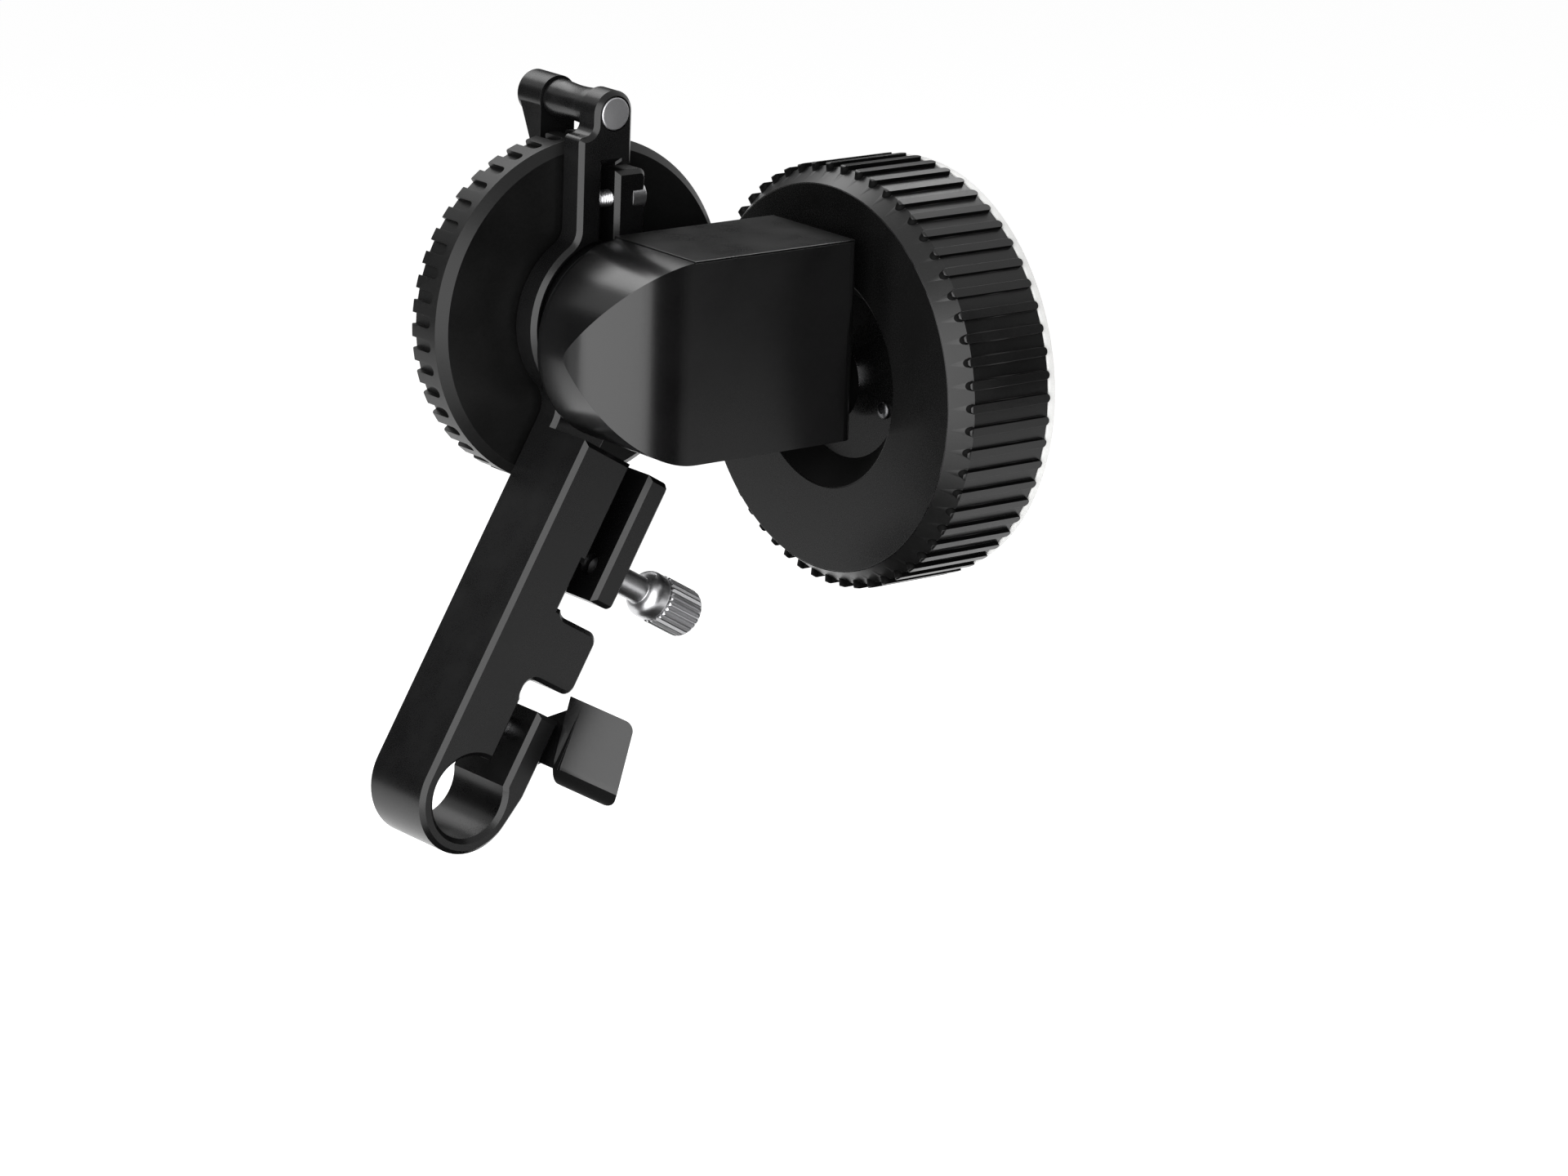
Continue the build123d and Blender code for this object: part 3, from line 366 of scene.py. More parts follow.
def apply_modifier(piece: Piece, kind: str, **settings: object) -> None:
    """Add a modifier, set it and apply it.

    Args:
        piece: The piece.
        kind: Blender's name of the modifier type.
        **settings: Values for the modifier's properties.
    """
    take(piece)
    modifier = piece.modifiers.new(kind.lower(), kind)
    for name, value in settings.items():
        setattr(modifier, name, value)
    bpy.ops.object.modifier_apply(modifier=modifier.name)


def round_over(piece: Piece, width: float, angle: float, steps: int) -> None:
    """Round a piece's sharp edges.

    Args:
        piece: The piece.
        width: Width of the rounding, in millimetres.
        angle: Edges sharper than this are rounded, in degrees.
        steps: Segments of the rounding.
    """
    apply_modifier(
        piece, "BEVEL", width=width * MM, segments=steps, limit_method="ANGLE",
        angle_limit=math.radians(angle),
    )


def smooth(piece: Piece, angle: float = 30.0) -> None:
    """Shade a piece smoothly, with the sharper edges kept.

    Args:
        piece: The piece.
        angle: Edges sharper than this are kept, in degrees.
    """
    take(piece)
    bpy.ops.object.shade_smooth_by_angle(angle=math.radians(angle))
    apply_modifier(piece, "WEIGHTED_NORMAL", keep_sharp=True, weight=80)


def soften(
    piece: Piece, width: float, angle: float = 32.0, steps: int = 2, shading: float = 30.0
) -> None:
    """Round a piece's sharp edges a little and smooth its shading.

    Args:
        piece: The piece.
        width: Width of the rounding, in millimetres.
        angle: Edges sharper than this are rounded, in degrees.
        steps: Segments of the rounding.
        shading: Edges sharper than this stay sharp in the shading, in degrees.
    """
    round_over(piece, width, angle, steps)
    smooth(piece, shading)


def bevel_edges(piece: Piece, width: float, steps: int, test: Test) -> None:
    """Round chosen edges in edit mode.

    Args:
        piece: The piece.
        width: Width of the rounding, in millimetres.
        steps: Segments of the rounding.
        test: Takes an edge's two ends, in millimetres, and says whether it is chosen.
    """
    with editing(piece, "EDGE"):
        mesh = bmesh.from_edit_mesh(piece.data)
        for edge in mesh.edges:
            edge.select_set(test(*(corner.co / MM for corner in edge.verts)))
        bmesh.update_edit_mesh(piece.data)
        bpy.ops.mesh.bevel(offset=width * MM, segments=steps, affect="EDGES", clamp_overlap=False)


def close_up(piece: Piece, threshold: float = 0.0005) -> None:
    """Merge a piece's doubled points and turn its faces outwards.

    Args:
        piece: The piece.
        threshold: Points nearer than this are merged, in millimetres.
    """
    with editing(piece, action="SELECT"):
        bpy.ops.mesh.remove_doubles(threshold=threshold * MM)
        bpy.ops.mesh.select_all(action="SELECT")
        bpy.ops.mesh.normals_make_consistent(inside=False)


def block(name: str, low: Point, high: Point) -> Piece:
    """Add a cube at its size and place.

    Args:
        name: Name of the piece.
        low: Lowest corner, in millimetres.
        high: Highest corner, in millimetres.

    Returns:
        The new piece.
    """
    let_go()
    first, last = millimetres(*low), millimetres(*high)
    bpy.ops.mesh.primitive_cube_add(size=1.0, location=(first + last) / 2)
    piece = bpy.context.object
    piece.name = name
    piece.scale = last - first
    settle(piece)
    return piece


def rod(name: str, radius: float, start: Point, end: Point, sides: int = 96) -> Piece:
    """Add a cylinder between two points.

    Args:
        name: Name of the piece.
        radius: Radius in millimetres.
        start: Middle of one end, in millimetres.
        end: Middle of the other end, in millimetres.
        sides: Number of flats round it.

    Returns:
        The new piece.
    """
    let_go()
    first, last = millimetres(*start), millimetres(*end)
    way = last - first
    bpy.ops.mesh.primitive_cylinder_add(
        vertices=sides, radius=radius * MM, depth=way.length, location=(first + last) / 2,
        rotation=way.to_track_quat("Z", "Y").to_euler(),
    )
    piece = bpy.context.object
    piece.name = name
    settle(piece)
    return piece


def turned(name: str, outline: Outline, foot: Point, axis: Vector, steps: int = 96) -> Piece:
    """Turn an outline about an axis, as on a lathe.

    Args:
        name: Name of the piece.
        outline: Radius and place along the axis of each point, in millimetres. It runs from
            the axis to the axis, or round a bore, and is then closed to its start.
        foot: The point that the places are measured from, in millimetres.
        axis: Direction of the axis.
        steps: Facets round the axis.

    Returns:
        The new piece.
    """
    side = UP if abs(axis.dot(UP)) < 0.1 else BACK
    centre = millimetres(*foot)
    if outline[0][0] > 0.0:
        outline = [*outline, outline[0]]
    points = [centre + side * (radius * MM) + axis * (along * MM) for radius, along in outline]
    let_go()
    bpy.ops.mesh.primitive_plane_add(size=MM, location=points[0])
    piece = bpy.context.object
    piece.name = name
    settle(piece)
    with editing(piece, action="SELECT"):
        bpy.ops.mesh.merge(type="CENTER")
        for before, after in zip(points, points[1:]):
            bpy.ops.mesh.extrude_vertices_move(TRANSFORM_OT_translate={"value": after - before})
        bpy.ops.mesh.select_all(action="SELECT")
        bpy.ops.mesh.spin(steps=steps, angle=math.tau, center=centre, axis=axis)
    close_up(piece)
    return piece


def arc(centre: tuple[float, float], radius: float, start: float, end: float, steps: int) -> Outline:
    """Give the points of an arc in an outline.

    Args:
        centre: Centre of the arc, as radius and place along the axis.
        radius: Radius in millimetres.
        start: First angle from the outward direction, in degrees.
        end: Last angle, in degrees.
        steps: Number of stretches.

    Returns:
        The points, first and last included.
    """
    angles = (math.radians(start + (end - start) * i / steps) for i in range(steps + 1))
    return [(centre[0] + radius * math.cos(a), centre[1] + radius * math.sin(a)) for a in angles]


def thread(radius: float, start: float, end: float, pitch: float) -> Outline:
    """Give the outline of a screw's thread, with its start chamfered.

    Args:
        radius: Outer radius in millimetres.
        start: Place of the screw's tip along the axis.
        end: Place where the thread ends.
        pitch: Distance from one turn to the next.

    Returns:
        Points as radius and place along the axis, from the tip to the end.
    """
    way = math.copysign(pitch, end - start)
    turns = int(abs(end - start) / pitch)
    root = radius - 0.55 * pitch
    points = [(root - 0.1, start)]
    for turn in range(turns):
        foot = start + turn * way
        points += [(root, foot + 0.15 * way), (radius, foot + 0.55 * way), (radius, foot + 0.65 * way)]
    return [*points, (root, start + turns * way), (root, end)]


def combine(piece: Piece, how: Joining, *others: Piece) -> None:
    """Cut, join or trim a piece with others, which are used up.

    Args:
        piece: The piece that is kept.
        how: How the others change it.
        *others: The pieces that are used up.
    """
    for other in others:
        apply_modifier(piece, "BOOLEAN", operation=how.value, solver="EXACT", object=other)
        bpy.data.objects.remove(other)


def cut(piece: Piece, *tools: Piece) -> None:
    """Cut tools out of a piece."""
    combine(piece, Joining.CUT, *tools)


def weld(piece: Piece, *others: Piece) -> None:
    """Join others to a piece as one body."""
    combine(piece, Joining.WELD, *others)


def trim(piece: Piece, *others: Piece) -> None:
    """Keep only what a piece shares with others."""
    combine(piece, Joining.TRIM, *others)


def ring_of(model: Piece, count: int, foot: Point, axis: Vector, first: float = 0.0) -> Piece:
    """Copy a modelled shape round an axis and gather the copies in one object.

    Args:
        model: The shape, which is used up.
        count: Number of copies in a full turn.
        foot: A point on the axis, in millimetres.
        axis: Direction of the axis.
        first: Turn of the first copy, in degrees.

    Returns:
        The object that holds all copies.
    """
    centre = Matrix.Translation(millimetres(*foot))
    copies = []
    for index in range(count):
        turn = Matrix.Rotation(math.radians(first) + math.tau * index / count, 4, axis)
        each = bpy.data.objects.new(f"{model.name}_{index}", model.data.copy())
        bpy.context.scene.collection.objects.link(each)
        each.data.transform(centre @ turn @ centre.inverted())
        copies.append(each)
    name = model.name
    bpy.data.objects.remove(model)
    take(copies[0])
    for each in copies:
        each.select_set(True)
    bpy.ops.object.join()
    copies[0].name = name
    return copies[0]


def turn_piece(piece: Piece, angle: float, axis: Vector, centre: Point = (0.0, 0.0, 0.0)) -> None:
    """Turn a piece about a line and put the turn into its mesh.

    Args:
        piece: The piece.
        angle: Angle in degrees.
        axis: Direction of the line.
        centre: A point on the line, in millimetres.
    """
    move = Matrix.Translation(millimetres(*centre))
    piece.matrix_world = move @ Matrix.Rotation(math.radians(angle), 4, axis) @ move.inverted()
    settle(piece)


def refined_copy(
    node: str, name: str, round_width: float, corners: Sequence[tuple[float, float]] = (),
    corner_round: float = 1.4,
) -> Piece:
    """Start a piece from a CAD node's own shape, clean it and round its edges.

    Args:
        node: The CAD node.
        name: Name of the new piece.
        round_width: Width of the rounding, in millimetres.
        corners: X and Z of corners whose edges along Y get a larger rounding first.
        corner_round: Width of that rounding, in millimetres.

    Returns:
        The new piece.
    """
    piece = bpy.data.objects.new(name, bpy.data.objects[node].data.copy())
    bpy.context.scene.collection.objects.link(piece)
    with editing(piece, action="SELECT"):
        bpy.ops.mesh.customdata_custom_splitnormals_clear()
        bpy.ops.mesh.remove_doubles(threshold=0.002 * MM)
        bpy.ops.mesh.dissolve_limited(angle_limit=math.radians(0.6))
        bpy.ops.mesh.select_all(action="SELECT")
        bpy.ops.mesh.normals_make_consistent(inside=False)
    for x, z in corners:
        bevel_edges(piece, corner_round, 6, lambda one, two: (
            abs(one.y - two.y) > 1.0 and all(math.hypot(end.x - x, end.z - z) < 0.4 for end in (one, two))))
    soften(piece, round_width)
    return piece


def dress_faces(piece: Piece, finish: Finish, test: Test) -> None:
    """Give chosen faces of a dressed piece another finish.

    Args:
        piece: The piece.
        finish: The finish of the chosen faces.
        test: Takes a face's centre and normal.
    """
    piece.data.materials.append(finish.material())
    with faces_of(piece, test):
        piece.active_material_index = len(piece.data.materials) - 1
        bpy.ops.object.material_slot_assign()


# ---------------------------------------------------------------- sub-assemblies


@dataclass
class SubAssembly:
    """Pieces that are built together and dressed together.

    Attributes:
        nodes: The loaded CAD nodes by name.
    """

    nodes: dict[str, Piece]

    def dress_nodes(self, finish: Finish, *names: str) -> None:
        """Give CAD nodes a finish on all of their slots.

        Args:
            finish: Their finish.
            *names: Names of the nodes.
        """
        for name in names:
            node = self.nodes[name]
            if not node.material_slots:
                node.data.materials.append(finish.material())
            for place in node.material_slots:
                place.material = finish.material()

    def stand_in(self, piece: Piece, body: str, finish: Finish, replaced: str) -> None:
        """Dress a new piece, let it ride on a body and replace a CAD node.

        Args:
            piece: The new piece.
            body: The body that carries it.
            finish: Its finish.
            replaced: The CAD node that it stands for.
        """
        piece.data.materials.clear()
        piece.data.materials.append(finish.material())
        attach(piece, body)
        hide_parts(replaced)
        log.info("%s: %d faces", piece.name, len(piece.data.polygons))


@dataclass
class BracketFrame(SubAssembly):
    """The arm with its rod clamp and ring plate, and the bridge to the rear support.

    Lengths are in millimetres, in the frame of the whole unit. The jaw corners are X and Z of
    the side jaw's two outer corners: above the upper notch, and at the top of the arm.
    """

    body: str = "bracket_frame"
    edge_round: float = 0.16
    jaw_corners: tuple[tuple[float, float], ...] = ((29.75, 29.13), (42.0, 50.35))
    support_round: float = 0.3
    lug_x: float = 35.4
    lug_z: float = 115.7
    bridge_front: float = 7.75
    bridge_back: float = 19.65
    bridge_radius: float = 3.35
    bridge_round: float = 0.2
    waist: float = 0.2
    waist_steps: int = 12
    land: float = 2.0
    pin_radius: float = 2.0
    pin_head_radius: float = 2.9
    pin_head: tuple[float, float] = (2.55, 5.75)
    pin_end: float = 25.85
    pin_edge: float = 0.3

    def tube(self) -> Piece:
        """Turn the spacer with a shallow waist between its two lands.

        Returns:
            The new piece.
        """
        bore, radius, steps = self.pin_radius + HAIR, self.bridge_radius, self.waist_steps
        start, end = self.bridge_front + self.land, self.bridge_back - self.land
        waist = [
            (radius - self.waist * math.sin(math.pi * i / steps), start + (end - start) * i / steps)
            for i in range(steps + 1)
        ]
        outline = [(bore, self.bridge_front), (radius, self.bridge_front), *waist,
                   (radius, self.bridge_back), (bore, self.bridge_back)]
        piece = turned("bridge_spacer", outline, (self.lug_x, 0.0, self.lug_z), BACK, 64)
        soften(piece, self.bridge_round)
        return piece

    def pin(self) -> Piece:
        """Turn the pin with its flat round head.

        Returns:
            The new piece.
        """
        front, seat = self.pin_head
        edge = self.pin_edge
        head = arc((self.pin_head_radius - edge, front + edge), edge, -90.0, 0.0, 5)
        outline = [(0.0, front), *head, (self.pin_head_radius, seat), (self.pin_radius, seat),
                   (self.pin_radius, self.pin_end), (0.0, self.pin_end)]
        piece = turned("bridge_pin_head", outline, (self.lug_x, 0.0, self.lug_z), BACK, 64)
        smooth(piece)
        return piece

    def build(self) -> None:
        """Make and dress the bracket, its bridge, the rear support and the washer."""
        bracket = refined_copy("bracket", "bracket_arm_and_ring", self.edge_round, self.jaw_corners)
        self.stand_in(bracket, self.body, BLACK_ANODISED, "bracket")
        self.stand_in(self.tube(), self.body, BLACK_ANODISED, "bridge_tube")
        self.stand_in(self.pin(), self.body, SATIN_STEEL, "bridge_pin")
        support = refined_copy("rear_support", "rear_support_plate", self.support_round)
        self.stand_in(support, self.body, BLACK_ANODISED, "rear_support")
        self.dress_nodes(CUT_BRASS, "rear_bush")
        self.dress_nodes(BRIGHT_STEEL, "lever_washer")


@dataclass
class SocketScrew:
    """A cap screw with a hexagon socket in its head.

    Places run along the screw's axis, in millimetres.

    Attributes:
        name: Name of the piece.
        foot: The point that the places are measured from.
        axis: Direction from the tip to the head.
        tip: Where the thread starts.
        seat: Where the head starts.
        radius: Outer radius of the thread.
        pitch: Pitch of the thread.
        head_radius: Radius of the head.
        head: Height of the head.
        socket: Corner radius of the hexagon.
        socket_depth: Depth of the hexagon.
        plain: Length of the shank without thread.
        run_out: Length in which the thread rises to the plain shank.
        edge: Rounding of the head's edge.
        fine_round: Rounding of the other edges.
    """

    name: str
    foot: Point
    axis: Vector
    tip: float
    seat: float
    radius: float
    pitch: float
    head_radius: float
    head: float
    socket: float
    socket_depth: float
    plain: float = 1.0
    run_out: float = 0.1
    edge: float = 0.35
    fine_round: float = 0.07

    def build(self) -> Piece:
        """Turn the screw and sink its socket.

        Returns:
            The new piece.
        """
        top, edge, shank = self.seat + self.head, self.edge, self.seat - self.plain
        outline = [
            (0.0, self.tip), *thread(self.radius, self.tip, shank, self.pitch),
            (self.radius, shank + self.run_out), (self.radius, self.seat), (self.head_radius, self.seat),
            *arc((self.head_radius - edge, top - edge), edge, 0.0, 90.0, 5), (0.0, top),
        ]
        piece = turned(self.name, outline, self.foot, self.axis, 48)
        start = Vector(self.foot) + self.axis * (top - self.socket_depth)
        cut(piece, rod("socket", self.socket, start, start + self.axis * (2 * self.socket_depth), 6))
        soften(piece, self.fine_round, 40.0)
        return piece


@dataclass
class Thumbscrew:
    """A hand screw with a smooth bulged shoulder, a groove and a straight-knurled head.

    Places run across the arm, in millimetres.
    """

    foot: Point
    axis: Vector
    tip: float = 7.4
    seat: float = 11.2
    thread_radius: float = 2.0
    pitch: float = 0.7
    neck_radius: float = 2.5
    neck: float = 8.8
    neck_gap: float = 1.2
    head: float = 11.3
    head_radius: float = 4.45
    head_edge: float = 0.25
    bulge_radius: float = 4.3
    bulge_round: float = 2.3
    bulge_rise: float = 1.1
    bulge_edge: float = 0.5
    shoulder: float = 3.2
    groove: float = 0.35
    groove_width: float = 0.3
    end_round: float = 1.2
    knurls: int = 26
    knurl_size: float = 0.62
    knurl_stand: float = 0.2
    knurl_start: float = 0.3
    fine_round: float = 0.05

    def outline(self) -> Outline:
        """Give the turned outline, as radius and place across the arm.

        Returns:
            The outline, from tip to head.
        """
        head = self.seat + self.neck
        end, body = head + self.head, head + self.shoulder
        low, edge = self.head_radius - self.groove, self.head_edge
        bulge, fall_round = self.bulge_radius, self.bulge_edge
        swell = arc((bulge - self.bulge_round, head + self.bulge_rise), self.bulge_round, -75.0, 0.0, 10)
        fall_end = body - self.groove_width - fall_round - HAIR
        fall = arc((bulge - fall_round, fall_end), fall_round, 0.0, 80.0, 6)
        tail = arc((self.head_radius - self.end_round, end - self.end_round), self.end_round, 0.0, 90.0, 8)
        return [
            (0.0, self.tip), *thread(self.thread_radius, self.tip, self.seat, self.pitch),
            (self.neck_radius, self.seat), (self.neck_radius, head - self.neck_gap), *swell, *fall,
            (low, body - self.groove_width), (low, body), (self.head_radius - edge, body),
            (self.head_radius, body + edge), *tail, (0.0, end),
        ]

    def build(self) -> Piece:
        """Turn the screw and cut its knurls.

        Returns:
            The new piece.
        """
        piece = turned("knurled_thumbscrew", self.outline(), self.foot, self.axis, 104)
        body = self.seat + self.neck + self.shoulder
        out = self.axis.cross(BACK).normalized() * (self.head_radius + self.knurl_stand)
        start = Vector(self.foot) + out + self.axis * (body - self.knurl_start)
        end = Vector(self.foot) + out + self.axis * (body + self.head)
        notch = rod("knurl", self.knurl_size, start, end, 4)
        cut(piece, ring_of(notch, self.knurls, self.foot, self.axis))
        close_up(piece, CUT_SEAM)
        soften(piece, self.fine_round, 40.0)
        return piece


@dataclass
class ClampLever:
    """The rod clamp's lever: a turned paddle with a rolled lower edge, on a round hub.

    It is laid out in the arm's own axes, across (X), Y and along (Z), and then leaned with
    the arm. Lengths are in millimetres, angles in degrees. The web's two pairs say how far it
    stays inside the hub: from its left and right end, and from its lower and upper side.
    """

    lean: float
    turn: float = 21.0
    hub_across: float = 12.0
    hub_along: float = 14.4
    hub_radius: float = 4.4
    hub_length: float = 3.2
    bore: float = 2.02
    web_lean: float = 31.0
    web_start: float = -1.0
    web_reach: float = 2.5
    web_across: tuple[float, float] = (1.1, 0.1)
    web_along: tuple[float, float] = (1.0, 0.2)
    flat: float = 12.6
    near: float = -7.6
    width: float = 14.4
    top: float = 23.8
    bottom: float = 8.9
    skew: float = 3.2
    thickness: float = 4.6
    roll: float = 3.4
    far_slant: float = 3.6
    far_top_round: float = 1.6
    far_low_round: float = 1.4
    cutter_over: float = 0.5
    edge_round: float = 0.3
    edge_limit: float = 18.0

    def outline_block(self) -> Piece:
        """Shape the paddle's outline: leaned sides and rounded far corners.

        Returns:
            The block that the paddle is trimmed to.
        """
        far, middle, over = self.near - self.width, self.near - self.width / 2, self.cutter_over
        piece = block("outline", (self.flat - over, far, self.bottom),
                      (self.flat + self.thickness + over, self.near, self.top))
        with faces_of(piece, lambda at, facing: facing.x > FACING):
            bpy.ops.transform.resize(
                value=(1.0, 1.0 - self.far_slant / self.width, 1.0),
                center_override=millimetres(self.flat, self.near, self.bottom),
            )
        for end in (-1.0, 1.0):
            with faces_of(piece, lambda at, facing: facing.z * end > FACING):
                bpy.ops.transform.translate(value=millimetres(0.0, end * self.skew / 2, 0.0))
        bevel_edges(piece, self.far_top_round, 6, lambda one, two: (
            min(one.z, two.z) > self.top - NEAR and max(one.y, two.y) < middle))
        bevel_edges(piece, self.far_low_round, 6, lambda one, two: (
            max(one.z, two.z) < self.bottom + NEAR and max(one.y, two.y) < middle))
        return piece

    def paddle(self) -> Piece:
        """Shape the paddle: a bar with a rolled lower edge, trimmed to its outline and turned.

        Returns:
            The new piece.
        """
        past = self.width / 2
        piece = block("rod_clamp_paddle", (self.flat, self.near - self.width - past, self.bottom),
                      (self.flat + self.thickness, self.near + past, self.top))
        bevel_edges(piece, self.roll, 10, lambda one, two: (
            max(one.x, two.x) < self.flat + NEAR and max(one.z, two.z) < self.bottom + NEAR))
        trim(piece, self.outline_block())
        turn_piece(piece, self.turn, UP, (self.flat, self.near, 0.0))
        return piece

    def hub(self) -> Piece:
        """Shape the hub with the web that leads to the paddle.

        Returns:
            The new shape.
        """
        start, end = self.hub_across, self.hub_across + self.hub_length
        low = self.hub_along - self.hub_radius + self.web_along[0]
        high = self.hub_along + self.hub_radius - self.web_along[1]
        piece = rod("hub", self.hub_radius, (start, 0.0, self.hub_along), (end, 0.0, self.hub_along), 64)
        web = block("web", (start + self.web_across[0], self.near - self.web_reach, low),
                    (end - self.web_across[1], self.web_start, high))
        with faces_of(web, lambda at, facing: facing.z > FACING):
            bpy.ops.transform.rotate(
                value=math.radians(self.web_lean), orient_axis="X",
                center_override=millimetres(start, self.web_start, high),
            )
        weld(piece, web)
        return piece

    def build(self) -> Piece:
        """Shape the paddle, join it to its hub and lean it with the arm.

        Returns:
            The new piece.
        """
        piece = self.paddle()
        weld(piece, self.hub())
        start, end = self.hub_across - OVER, self.hub_across + self.hub_length + OVER
        cut(piece, rod("bore", self.bore, (start, 0.0, self.hub_along), (end, 0.0, self.hub_along), 48))
        turn_piece(piece, self.lean, BACK)
        soften(piece, self.edge_round, self.edge_limit, 3, self.edge_limit)
        return piece


@dataclass
class Fasteners(SubAssembly):
    """The ring's clamp screw, the knurled thumbscrew and the rod clamp's lever.

    The lean is the arm's, in degrees. The thumbscrew's place is given along the arm and in Y,
    in millimetres. Faces of the lever that look down the arm by more than the underside's
    share of their normal get the darker black as painted shade.
    """

    lean: float = 30.0
    clamp_screw_place: Point = (0.0, 5.25, 100.3)
    thumb_along: float = 46.2
    thumb_y: float = -2.5
    underside: float = 0.25

    def build(self) -> None:
        """Make and dress the screws and the lever."""
        screw = SocketScrew(
            "ring_clamp_socket_screw", self.clamp_screw_place, RIGHT, tip=29.8, seat=39.7, radius=1.5,
            pitch=0.5, head_radius=2.75, head=3.0, socket=1.45, socket_depth=1.6,
        ).build()
        self.stand_in(screw, "ring_screw", TURNED_NICKEL, "ring_clamp_screw")
        slope = math.radians(self.lean)
        across = Vector((math.cos(slope), 0.0, -math.sin(slope)))
        along = Vector((math.sin(slope), 0.0, math.cos(slope)))
        foot = along * self.thumb_along + BACK * self.thumb_y
        self.stand_in(Thumbscrew(foot, across).build(), "thumbscrew", TURNED_NICKEL, "arm_thumbscrew")
        lever = ClampLever(self.lean).build()
        self.stand_in(lever, "clamp_lever", BLACK_SATIN, "rod_clamp_lever")
        # The lever's downward faces get the darker black: painted shade under the lever.
        dress_faces(lever, PAINTED_SHADE_BLACK, lambda at, facing: facing.dot(along) < -self.underside)
        self.dress_nodes(BRIGHT_STEEL, "rod_clamp_stud")


